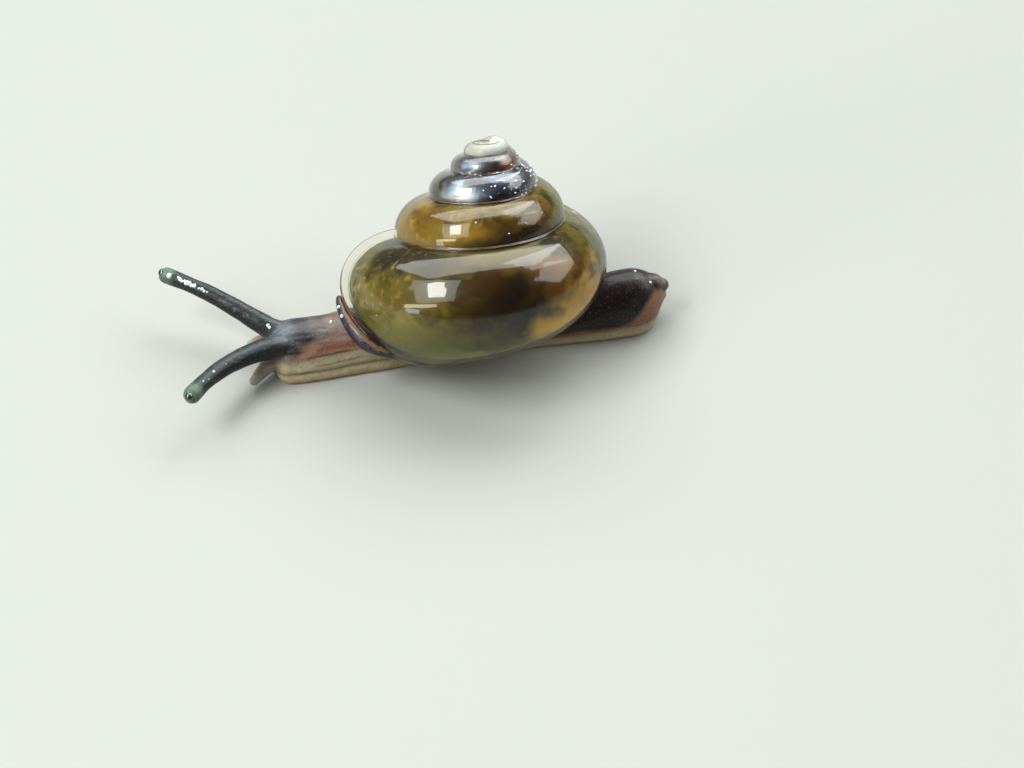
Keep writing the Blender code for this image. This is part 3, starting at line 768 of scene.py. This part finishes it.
def paint_skin(points):
    """The skin's colour at each point, from soft layers laid one over the other."""
    x, y, z = points.T
    stations = np.linspace(-4.8, 3.9, 400)
    height = np.interp(x, stations, [smooth_value(station, BACK_HEIGHTS) for station in stations])
    closing = np.sqrt(np.clip(1 - (np.clip(x - TAIL_END + TAIL_CAP, 0, None) / TAIL_CAP) ** 2, 0.02, 1))
    level = np.clip((z - CAP_LEVEL) / closing + CAP_LEVEL, 0, 2) / height  # 0 at the sole, 1 at the back
    wide = noise_at(points, 1.6, 3.0)
    middle = noise_at(points, 4.5, 9.0)
    fine = noise_at(points * np.array((0.45, 1, 1)), 16.0, 5.0)
    warped = level + 0.05 * wide + 0.025 * middle

    # Neck: cream side, red band, grey back, and the dark streaks behind the upper tentacles
    streaks = noise_at(points * np.array((0.7, 3.0, 3.0)), 3.4, 7.0)
    stripe = bump(warped + 0.05 * streaks, 0.95 - 0.07 * ramp(x, -4.3, -3.2), 0.11)
    stripe = stripe * ramp(-x + 0.5 * streaks, 3.0, 3.9)
    high_line = bump(warped, 0.60, 0.022) * ramp(-x, 2.7, 3.1) * (1 - ramp(-x, 3.7, 4.1))
    low_line = bump(level + 0.02 * middle, 0.42, 0.022) * ramp(-x, 2.6, 2.9) * (1 - ramp(-x, 3.4, 3.9))
    shoulder = bump(x + 0.2 * streaks, -4.22, 0.34) * bump(z + 0.10 * streaks, 0.76, 0.13)
    shoulder = shoulder * bump(np.abs(y), 0.50, 0.17)
    crown = bump(x, -4.22, 0.22) * bump(y, 0, 0.26) * ramp(z, 0.7, 0.85)
    layers = [
        ((170, 160, 132), 0.6 * bump(level, 0.38, 0.10) * ramp(x, -2.0, -3.6)),
        ((132, 98, 84), 0.9 * ramp(warped, 0.50, 0.66)),
        ((106, 54, 42), 0.75 * bump(warped, 0.72, 0.08) * ramp(x, -3.9, -3.4)),
        ((84, 88, 90), ramp(warped, 0.80, 0.92)),
        ((116, 90, 78), 0.8 * ramp(warped, 0.78, 0.92) * ramp(x, -3.9, -3.2)),
        ((120, 116, 114), 0.4 * ramp(warped, 0.92, 1.02) * ramp(x, -4.2, -3.4)),
        ((24, 21, 24), stripe),
        ((60, 38, 30), 0.85 * high_line),
        ((104, 90, 62), 0.8 * low_line),
        ((66, 72, 78), 0.7 * ramp(-x, 3.9, 4.25) * ramp(level, 0.45, 0.7)),
        ((26, 27, 30), 0.95 * ramp(shoulder, 0.1, 0.6)),
        ((98, 110, 118), 0.45 * crown),
        ((96, 88, 64), 0.75 * bump(level, FURROW_LEVEL, 0.025)),
        ((196, 128, 72), 0.8 * bump(level, 0.02, 0.07) * ramp(-x, 1.5, 3.0)),
    ]

    # Tail: dark above a slanting edge, with a pale fringe and tip
    tail = ramp(x, 0.6, 1.8)
    edge = 0.34 + 0.60 * ramp(x, 2.65, 3.6) - 0.04 * ramp(x, 1.4, 2.4)
    tip = bump(x, 3.62, 0.12) * bump(y, 0.0, 0.2) * ramp(level, 0.5, 0.7)
    layers += [
        ((122, 88, 66), tail * ramp(level, 0.14, 0.34)),
        ((172, 156, 124), 0.8 * tail * (1 - ramp(level, 0.06, 0.24))),
        ((26, 15, 14), tail * ramp(warped, edge - 0.10, edge + 0.07)),
        ((62, 34, 30), 0.5 * tail * ramp(middle, 0.1, 0.6) * ramp(level, 0.4, 0.5)),
        ((132, 108, 94), 0.7 * tip),
    ]

    for path in (UPPER_LEFT, UPPER_RIGHT):
        share, away = nearest_on(path, points)
        on = (1 - ramp(away, 1.12, 1.5)) * ramp(share, 0.06, 0.26)
        spine = [spot.z for spot, _ in path_samples(path)]
        lift = (z - np.interp(share, np.linspace(0, 1, len(spine)), spine)) / 0.2
        # Painted light: the upper side of each upper tentacle is painted lighter, as if lit from above
        lit_upper_side = ramp(lift + 0.2 * middle, 0.3, 0.95) * (1 - ramp(share, 0.5, 0.9))
        layers += [
            ((11, 15, 14), on),
            ((38, 48, 51), 0.7 * on * lit_upper_side),
            ((34, 50, 41), 0.65 * on * ramp(share, 0.55, 0.92)),
            ((14, 16, 17), 0.7 * on * ramp(fine, 0.15, 0.45) * (1 - ramp(share, 0.75, 0.95))),
            ((80, 98, 84), 0.85 * on * ramp(share, 0.90, 0.97)),
        ]
    for path in (LOWER_LEFT, LOWER_RIGHT):
        share, away = nearest_on(path, points)
        on = (1 - ramp(away, 1.15, 1.6)) * ramp(share, 0.2, 0.5)
        layers += [((128, 116, 110), 0.9 * on), ((150, 158, 142), 0.7 * on * ramp(share, 0.7, 1.0))]
    front = ramp(-x, 4.30, 4.5) * (1 - ramp(level, 0.45, 0.62)) * (np.abs(y) < 0.4)
    # Painted shade: a dark line along the slit between the lips
    mouth_slit_shade = bump(z, MOUTH.z, 0.018) * (x < MOUTH.x + 0.05) * (np.abs(y) < 0.27)
    layers += [((152, 116, 98), 0.7 * front), ((52, 34, 32), mouth_slit_shade)]

    colours = np.tile(np.array(srgb(148, 136, 108)), (len(points), 1))
    for colour, share in layers:
        share = np.clip(share, 0, 1)[:, None]
        colours = colours * (1 - share) + np.array(srgb(*colour)) * share
    tone = 1 + 0.10 * fine + 0.08 * middle
    return np.clip(colours * tone[:, None], 0, 1)


def turn_outward(thing):
    bm = bmesh.new()
    bm.from_mesh(thing.data)
    bmesh.ops.recalc_face_normals(bm, faces=bm.faces)
    bm.to_mesh(thing.data)
    bm.free()
    return thing


def cut(thing, cutter):
    """Takes the cutter's room out of a closed surface, and removes the cutter."""
    modified(thing, "BOOLEAN", operation="DIFFERENCE", solver="MANIFOLD", object=cutter)
    bpy.data.objects.remove(cutter)


def make_skin():
    skin = skin_surface()
    mesh = skin.data
    relax(mesh, SMOOTH_ROUNDS)
    points = column(mesh.vertices, "co")
    normals = column(mesh.vertex_normals, "vector")
    x, y, z = points.T
    grain = noise_at(points * np.array((0.5, 1, 1)), 11.0)
    folds = noise_at(points * np.array((0.25, 1, 1)), 5.0, 2.0)
    still = ramp(z, 0.02, 0.10) * (1 - 0.7 * ramp(x, 1.0, 2.2)) * (1 - 0.65 * ramp(-x, 4.4, 4.9))
    move = still * SKIN_GRAIN * (grain + folds) - SKIN_INSET * ramp(z, 0.02, 0.10)
    move -= PIT_DEPTH * bump(y, 0, PIT_HALF_WIDTH) * bump(z, PIT_LEVEL, PIT_HALF_HEIGHT) * (x > PIT_FRONT)
    points = points + normals * move[:, None]
    set_points(mesh, points)
    relax(mesh, 1)
    cut(skin, shell_cutter())
    cut(skin, turn_outward(make_collar(CUTTER_MARGIN)))
    mesh = skin.data
    colours = np.ones((len(mesh.vertices), 4), np.float32)
    colours[:, :3] = paint_skin(column(mesh.vertices, "co"))
    layer = mesh.attributes.new("paint", "FLOAT_COLOR", "POINT")
    layer.data.foreach_set("color", colours.ravel())
    return skin


def node(tree, kind, inputs=None, **settings):
    """Adds a shader node; each input is a value or another node's output."""
    made = tree.nodes.new("ShaderNode" + kind)
    for key, value in settings.items():
        setattr(made, key, value)
    for key, value in (inputs or {}).items():
        if isinstance(value, bpy.types.NodeSocket):
            tree.links.new(value, made.inputs[key])
        else:
            made.inputs[key].default_value = value
    return made


def maths(tree, operation, *inputs):
    return node(tree, "Math", dict(enumerate(inputs)), operation=operation).outputs[0]


def product(tree, first, *factors):
    for factor in factors:
        first = maths(tree, "MULTIPLY", first, factor)
    return first


def attribute(tree, name, output="Fac"):
    return node(tree, "Attribute", attribute_name=name).outputs[output]


def new_material(name):
    """A material with no nodes but those that give the place on the piece, in millimetres."""
    made = bpy.data.materials.new(name)
    made.use_nodes = True
    tree = made.node_tree
    tree.nodes.clear()
    place_m = node(tree, "TexCoord").outputs["Object"]
    node(tree, "VectorMath", {0: place_m, 1: (1000, 1000, 1000)}, operation="MULTIPLY", name="place_mm")
    return made, tree


def make_surface(tree, kind, inputs):
    """Adds the shader that the material shows."""
    node(tree, "OutputMaterial", {0: node(tree, kind, inputs).outputs[0]})


def mix(tree, share, first, second):
    """A mix of two colours by a share; each is a value or another node's output."""
    inputs = {0: share}
    for key, colour in ((6, first), (7, second)):
        inputs[key] = colour if isinstance(colour, bpy.types.NodeSocket) else (*colour, 1.0)
    return node(tree, "Mix", inputs, data_type="RGBA").outputs[2]


def spread(tree, value, low, high, to_low=0.0, to_high=1.0):
    """Carries low..high smoothly over to to_low..to_high."""
    inputs = {0: value, 1: low, 2: high, 3: to_low, 4: to_high}
    return node(tree, "MapRange", inputs, interpolation_type="SMOOTHSTEP").outputs[0]


def place_mm(tree):
    return tree.nodes["place_mm"].outputs[0]


def noise_node(tree, scale, detail, distortion=0.0):
    inputs = {"Vector": place_mm(tree), "Scale": scale, "Detail": detail, "Distortion": distortion}
    return node(tree, "TexNoise", inputs).outputs["Fac"]


def bump_node(tree, strength, distance, height):
    """A bumped normal; the distance is in metres."""
    return node(tree, "Bump", {"Strength": strength, "Distance": distance, "Height": height}).outputs[0]


def skin_material():
    made, tree = new_material("wet_skin")
    dark = spread(tree, noise_node(tree, 22.0, 4.0), 0.52, 0.70, 0.0, 0.35)
    pale = spread(tree, noise_node(tree, 30.0, 2.0), 0.62, 0.74, 0.0, 0.22)
    colour = mix(tree, dark, attribute(tree, "paint", "Color"), (0.010, 0.010, 0.012))
    colour = mix(tree, pale, colour, srgb(190, 184, 176))
    cells = node(tree, "TexVoronoi", {"Vector": place_mm(tree), "Scale": 13.0}, feature="SMOOTH_F1")
    grain = noise_node(tree, 26.0, 4.0)
    height = maths(tree, "SUBTRACT", grain, cells.outputs["Distance"])
    inputs = {
        "Base Color": colour,
        "Roughness": spread(tree, grain, 0.3, 0.7, 0.38, 0.54),
        "Specular IOR Level": 0.22,
        "Subsurface Weight": 0.12,
        "Subsurface Radius": (0.9, 0.5, 0.35),
        "Subsurface Scale": 0.00015,
        "Coat Weight": 0.16,
        "Coat Roughness": 0.12,
        "Normal": bump_node(tree, 0.35, 0.00002, height),
        "Coat Normal": bump_node(tree, 0.25, 0.00003, noise_node(tree, 9.0, 2.0)),
    }
    make_surface(tree, "BsdfPrincipled", inputs)
    return made


# Markings of the body in the shell, among them a painted glow and painted highlights. Each is a soft patch:
# middle in turns and degrees, half widths, softness of its edge, strength and colour. Turn 0 starts at the lip
# and turn 1 is the whorl above.
PATCHES = (
    (0.09, 4, 0.055, 32, 0.6, 0.9, (116, 106, 54)),
    (0.11, 38, 0.10, 24, 0.5, 0.95, (44, 36, 24)),
    (0.20, -10, 0.09, 24, 0.5, 0.9, (96, 86, 36)),
    (0.24, 12, 0.06, 16, 0.5, 0.9, (62, 50, 22)),
    (0.285, -8, 0.05, 32, 0.5, 0.9, (98, 66, 24)),
    (0.345, 2, 0.035, 24, 0.6, 0.9, (176, 132, 44)),
    (0.16, -46, 0.08, 22, 0.6, 0.9, (152, 150, 84)),
    (0.18, -84, 0.10, 26, 0.6, 0.9, (150, 164, 108)),
    (0.275, -56, 0.045, 26, 0.5, 0.9, (92, 92, 50)),
    (0.30, -40, 0.035, 18, 0.6, 0.9, (48, 42, 26)),
    # Painted light: a golden glow where light comes through the lower right of the last whorl
    (0.39, -52, 0.070, 32, 0.35, 1.0, (255, 220, 56)),
    (0.42, -18, 0.05, 20, 0.6, 0.9, (230, 194, 70)),
    (0.485, -46, 0.025, 26, 0.6, 0.8, (92, 58, 22)),
    (0.385, 42, 0.035, 18, 0.5, 0.9, (44, 38, 24)),
    (0.40, 4, 0.02, 16, 0.6, 0.8, (104, 74, 34)),
    (0.48, 20, 0.05, 50, 0.6, 0.9, (88, 98, 48)),
    (1.08, 5, 0.07, 30, 0.6, 0.9, (130, 112, 58)),
    (1.12, 26, 0.05, 14, 0.6, 0.6, (100, 78, 42)),
    (1.30, -2, 0.10, 20, 0.5, 0.9, (206, 172, 84)),
    (1.40, 4, 0.03, 26, 0.6, 0.8, (136, 100, 48)),
    (1.36, -20, 0.07, 8, 0.5, 0.8, (66, 44, 24)),
    (1.47, 5, 0.05, 40, 0.6, 0.9, (118, 130, 70)),
    (2.07, 5, 0.05, 40, 0.5, 0.9, (54, 52, 44)),
    (2.26, 15, 0.14, 44, 0.4, 0.98, (126, 140, 170)),
    # Painted highlights on turn 2: a pale blue sheen and a white glint
    (2.17, 15, 0.06, 18, 0.8, 0.85, (186, 212, 240)),
    (2.18, -5, 0.055, 15, 0.7, 1.0, (236, 246, 255)),
    (2.31, -16, 0.07, 10, 0.5, 0.9, (84, 40, 40)),
    (2.44, 20, 0.05, 30, 0.6, 0.7, (84, 80, 74)),
    (3.18, 10, 0.13, 34, 0.5, 0.95, (84, 90, 102)),
    # Painted highlight on turn 3: a pale silver-blue sheen
    (3.14, 12, 0.05, 14, 0.8, 0.8, (170, 194, 220)),
    (3.33, -6, 0.08, 24, 0.5, 0.9, (190, 124, 70)),
)

# The colours under them, along the shell: a share of GROUND_TURNS, and a colour
GROUND_TURNS = 5.0
GROUND_COLOURS = (
    (0.00, (118, 110, 62)), (0.08, (124, 112, 60)), (0.20, (150, 134, 84)), (0.30, (116, 104, 60)),
    (0.40, (92, 92, 100)), (0.50, (92, 94, 108)), (0.62, (108, 104, 106)), (0.74, (146, 138, 130)),
    (0.88, (186, 192, 192)),
)
GROWTH_LINES = 520.0  # radians of their wave in one turn


def tissue_material():
    made, tree = new_material("body_in_shell")
    turns = attribute(tree, "turns")
    angle = attribute(tree, "angle")
    turns_off = maths(tree, "MULTIPLY_ADD", noise_node(tree, 2.2, 1.5), 0.10, turns)
    angle_off = maths(tree, "MULTIPLY_ADD", noise_node(tree, 2.8, 1.5, 0.4), 60.0, angle)
    spot = node(tree, "CombineXYZ", {0: turns_off, 1: angle_off, 2: 0.0}).outputs[0]

    base = node(tree, "ValToRGB", {0: maths(tree, "DIVIDE", turns, GROUND_TURNS)})
    elements = base.color_ramp.elements
    while len(elements) < len(GROUND_COLOURS):
        elements.new(0.5)
    for element, (at, colour) in zip(elements, GROUND_COLOURS):
        element.position = at
        element.color = (*srgb(*colour), 1.0)
    colour = base.outputs[0]
    # The patches, among them a painted glow and painted highlights, laid over the ground colours
    for t, a, half_t, half_a, softness, strength, tint in PATCHES:
        away = node(tree, "VectorMath", {0: spot, 1: (t + 0.05, a + 30.0, 0.0)}, operation="SUBTRACT")
        inputs = {0: away.outputs[0], 1: (1 / half_t, 1 / half_a, 0.0)}
        scaled = node(tree, "VectorMath", inputs, operation="MULTIPLY")
        length = node(tree, "VectorMath", {0: scaled.outputs[0]}, operation="LENGTH").outputs["Value"]
        share = spread(tree, length, 1 - softness, 1 + softness, strength, 0.0)
        colour = mix(tree, share, colour, srgb(*tint))

    # Dark blotches above, and pale flecks; both are weak where the last whorl is smooth
    from_smooth = maths(tree, "ABSOLUTE", maths(tree, "SUBTRACT", turns, 0.26))
    rough_part = spread(tree, from_smooth, 0.07, 0.13, 0.15, 1.0)
    dark = spread(tree, noise_node(tree, 2.2, 6.0, 0.5), 0.44, 0.66)
    high = spread(tree, angle, -15.0, 32.0, 0.05, 0.85)
    dark = product(tree, dark, high, rough_part, spread(tree, turns, 2.8, 3.6, 1.0, 0.1))
    colour = mix(tree, dark, colour, srgb(36, 29, 18))
    flecks = noise_node(tree, 6.0, 4.0, 0.5)
    pale = spread(tree, flecks, 0.54, 0.76, 0.0, 0.42)
    pale = product(tree, pale, rough_part, spread(tree, turns, 1.7, 2.1, 1.0, 0.1))
    colour = mix(tree, pale, colour, srgb(206, 176, 96))

    # The mantle's front edge: a cream hem, and dark mottles behind it
    above = spread(tree, angle, -22.0, -10.0)
    ragged = noise_node(tree, 7.0, 4.0)
    back = maths(tree, "MULTIPLY_ADD", ragged, 0.010, attribute(tree, "back"))
    dots = spread(tree, flecks, 0.40, 0.52, 1.0, 0.1)
    mottled = product(tree, spread(tree, back, 0.060, 0.030), above, dots)
    colour = mix(tree, mottled, colour, srgb(44, 36, 22))
    at_edge = product(tree, spread(tree, back, 0.020, 0.013), above)
    colour = mix(tree, at_edge, colour, srgb(214, 208, 164))
    inputs = {
        "Base Color": colour,
        "Roughness": 0.5,
        "Specular IOR Level": 0.1,
        "Subsurface Weight": 0.3,
        "Subsurface Radius": (1.0, 0.85, 0.5),
        "Subsurface Scale": 0.0003,
    }
    make_surface(tree, "BsdfPrincipled", inputs)
    return made


def shell_material():
    """Clear amber under a gloss that is sharp on the last whorls and satin near the tip."""
    made, tree = new_material("glass_amber")
    turns = attribute(tree, "turns")
    many = product(tree, turns, GROWTH_LINES)
    phase = maths(tree, "MULTIPLY_ADD", noise_node(tree, 1.6, 3.0), 22.0, many)
    lines = maths(tree, "SINE", phase)
    height = maths(tree, "MULTIPLY_ADD", noise_node(tree, 0.9, 2.0), 2.5, lines)
    bumped = bump_node(tree, 0.03, 0.00001, height)
    amber = mix(tree, spread(tree, turns, 0.04, 0.22), srgb(244, 243, 232), srgb(240, 231, 190))
    amber = mix(tree, spread(tree, turns, 1.8, 2.2), amber, srgb(244, 242, 238))
    clear = node(tree, "BsdfTransparent", {"Color": amber}).outputs[0]
    sharp, soft = (
        node(tree, "BsdfGlossy", {"Color": (1, 1, 1, 1), "Roughness": roughness, "Normal": bumped}).outputs[0]
        for roughness in (0.03, 0.22)
    )
    satin = spread(tree, turns, 1.8, 3.6, 0.3, 0.95)
    gloss = node(tree, "MixShader", {0: satin, 1: sharp, 2: soft}).outputs[0]
    share = node(tree, "Fresnel", {"IOR": 1.5, "Normal": bumped}).outputs[0]
    second_whorl = spread(tree, turns, 1.7, 2.1, 1.0, 1.6)
    tip = spread(tree, turns, 3.6, 4.3, 1.0, 0.12)
    base = spread(tree, attribute(tree, "angle"), -115.0, -55.0, 0.4, 1.0)
    share = product(tree, share, second_whorl, tip, base)
    make_surface(tree, "MixShader", {0: share, 1: clear, 2: gloss})
    return made


def collar_material():
    """Dark purple in front, brown where it laps over the shell, with a dark hem; green on the far side."""
    made, tree = new_material("mantle_edge")
    around = maths(tree, "MULTIPLY_ADD", noise_node(tree, 5.0, 3.0), 0.10, attribute(tree, "round"))
    far_side = spread(tree, attribute(tree, "along"), 0.40, 0.55)
    front = mix(tree, far_side, srgb(34, 24, 38), srgb(128, 134, 84))
    lap = mix(tree, far_side, srgb(104, 76, 50), srgb(140, 146, 90))
    colour = mix(tree, spread(tree, around, 0.715, 0.740), front, lap)
    colour = mix(tree, spread(tree, around, 0.785, 0.805), colour, srgb(58, 26, 18))
    flecks = noise_node(tree, 12.0, 4.0)
    colour = mix(tree, spread(tree, flecks, 0.55, 0.68, 0.0, 0.5), colour, srgb(92, 78, 96))
    inputs = {
        "Base Color": colour,
        "Roughness": 0.4,
        "Specular IOR Level": 0.3,
        "Coat Weight": 0.35,
        "Coat Roughness": 0.15,
        "Normal": bump_node(tree, 0.6, 0.00004, noise_node(tree, 14.0, 4.0)),
    }
    make_surface(tree, "BsdfPrincipled", inputs)
    return made


def mottled_material(name, scale, detail, low, high, first, second, finish):
    """Two colours in soft patches, with one finish."""
    made, tree = new_material(name)
    patchy = noise_node(tree, scale, detail)
    colour = mix(tree, spread(tree, patchy, low, high), first, second)
    make_surface(tree, "BsdfPrincipled", {"Base Color": colour, **finish})
    return made


GLOSSY = {"Roughness": 0.2, "Coat Weight": 0.8, "Coat Roughness": 0.05}
WET = {"Roughness": 0.15, "Coat Weight": 1.0, "Coat Roughness": 0.03}


def floor_material():
    made, tree = new_material("pale_floor")
    colour = mix(tree, noise_node(tree, 0.02, 2.0), srgb(150, 152, 148), srgb(157, 159, 155))
    make_surface(tree, "BsdfPrincipled", {"Base Color": colour, "Roughness": 0.9, "Specular IOR Level": 0.1})
    return made


def dress(thing, material):
    thing.data.materials.clear()
    thing.data.materials.append(material)
    thing.data.shade_smooth()
    return place(thing)


def direction(azimuth, elevation):
    """Unit vector from the snail; azimuth 0 looks back at the camera's side, along -Y, and 90 along +X."""
    a = radians(azimuth)
    e = radians(elevation)
    return Vector((sin(a) * cos(e), -cos(a) * cos(e), sin(e)))


def softbox(name, azimuth, elevation, distance, width, height, roll, radiance, colour):
    """A rectangular lamp facing the snail; distance and sides in metres, angles in degrees."""
    lamp = bpy.data.lights.new(name, "AREA")
    lamp.shape = "RECTANGLE"
    lamp.size = width
    lamp.size_y = height
    lamp.color = colour
    lamp.energy = radiance * pi * width * height
    thing = add_object(name, lamp)
    outward = direction(azimuth, elevation)
    thing.location = outward * distance + LAMP_TARGET
    turned = outward.to_track_quat("Z", "Y") @ Quaternion((0, 0, 1), radians(roll))
    thing.rotation_euler = turned.to_euler()


def make_camera():
    back = direction(CAMERA_AZIMUTH, CAMERA_ELEVATION)
    right = direction(CAMERA_AZIMUTH + 90, 0)
    up = back.cross(right)
    across = (IMAGE_CENTRE[0] - ORIGIN_PIXEL[0]) * MM_PER_PIXEL
    upward = (ORIGIN_PIXEL[1] - IMAGE_CENTRE[1]) * MM_PER_PIXEL
    target = right * across + up * upward
    camera = bpy.data.cameras.new("camera")
    field = IMAGE_CENTRE[0] * 2 * MM_PER_PIXEL
    camera.lens = SENSOR_WIDTH * FRAMED_DISTANCE / field
    camera.sensor_width = SENSOR_WIDTH
    camera.clip_start = 0.001
    camera.clip_end = 10.0
    thing = add_object("camera", camera)
    thing.location = (target + back * CAMERA_DISTANCE + STAND) * MM
    thing.rotation_euler = Matrix((right, up, back)).transposed().to_euler()
    bpy.context.scene.camera = thing


def make_eye(name, path):
    """The dark eye spot in the tip of an upper tentacle."""
    end = Vector(path[-1][:3])
    along = (end - Vector(path[-2][:3])).normalized()
    tip = end + along * path[-1][3]
    centre = tip - along * (EYE_RADIUS - EYE_STANDS_OUT) + EYE_SHIFT
    return new_object(name, *ellipsoid(centre, Vector((1, 1, 1)) * EYE_RADIUS, EYE_FACETS))


def make_floor():
    corners = [(x * FLOOR_HALF, y * FLOOR_HALF, 0) for x, y in ((-1, -1), (1, -1), (1, 1), (-1, 1))]
    floor = new_object("floor", corners, [(0, 1, 2, 3)])
    floor.data.materials.append(floor_material())


glass = dress(make_shell(), shell_material())
tissue = dress(make_tissue(), tissue_material())
thread = mottled_material("brown_thread", 3.0, 3.0, 0.4, 0.65, srgb(74, 34, 22), srgb(128, 84, 40), GLOSSY)
lip = dress(lip_thread(), thread)
suture = dress(suture_thread(), thread)
# Beads and drops of water, coloured near white: a painted highlight over the real wet drops
water_and_painted_glint = mottled_material("water_and_painted_glint", 20.0, 2.0, 0.4, 0.6, srgb(170, 190, 200), srgb(236, 246, 250), WET)
beads = dress(water_beads(), water_and_painted_glint)
collar = make_collar()
skin = make_skin()
drops = dress(slime_drops(skin, collar), water_and_painted_glint)
collar = dress(collar, collar_material())
skin = dress(skin, skin_material())
eye_spot = mottled_material("eye_spot", 12.0, 3.0, 0.4, 0.7, (0.004, 0.004, 0.005), (0.02, 0.02, 0.024), WET)
left_eye = dress(make_eye("left_eye_spot", UPPER_LEFT), eye_spot)
right_eye = dress(make_eye("right_eye_spot", UPPER_RIGHT), eye_spot)

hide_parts("shell")
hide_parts("mantle_collar")
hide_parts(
    "head", "neck", "trunk", "tail", "caudal_horn",
    "upper_tentacle_left_root", "upper_tentacle_left_end",
    "upper_tentacle_right_root", "upper_tentacle_right_end",
    "lower_tentacle_left", "lower_tentacle_right",
)
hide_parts("eye_left")
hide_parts("eye_right")
for slot, pieces in (
    ("shell", (glass, lip, suture, beads)),
    ("mantle", (tissue, collar)),
    ("skin", (skin, drops)),
    ("eye", (left_eye, right_eye)),
):
    for piece in pieces:
        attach(piece, "root")

make_floor()
make_camera()
softbox("key", -77.9, 50.8, 0.16, 0.090, 0.038, -36, 18.0, (1.0, 0.98, 0.95))
softbox("key_frame", -76, 48, 0.18, 0.160, 0.110, -39, 3.4, (0.86, 0.97, 0.95))
softbox("streak", -64, 17, 0.16, 0.085, 0.020, 36, 11.0, (1.0, 0.92, 0.62))
softbox("low_blob", -66, 4, 0.16, 0.030, 0.022, 20, 8.0, (0.75, 0.86, 1.0))
softbox("sky_behind", 178, 50, 0.30, 0.40, 0.24, 0, 4.6, (0.97, 1.0, 0.98))
softbox("sky_corner", 128, 44, 0.30, 0.18, 0.20, 0, 4.6, (0.97, 1.0, 0.98))
softbox("sky_right", 90, 36, 0.30, 0.20, 0.16, 0, 4.0, (0.97, 1.0, 0.98))

world = bpy.data.worlds.new("studio")
bpy.context.scene.world = world
world.use_nodes = True
background = world.node_tree.nodes["Background"].inputs
background["Color"].default_value = (0.85, 0.88, 0.9, 1.0)
background["Strength"].default_value = 0.16
bpy.context.scene.view_settings.view_transform = "Standard"
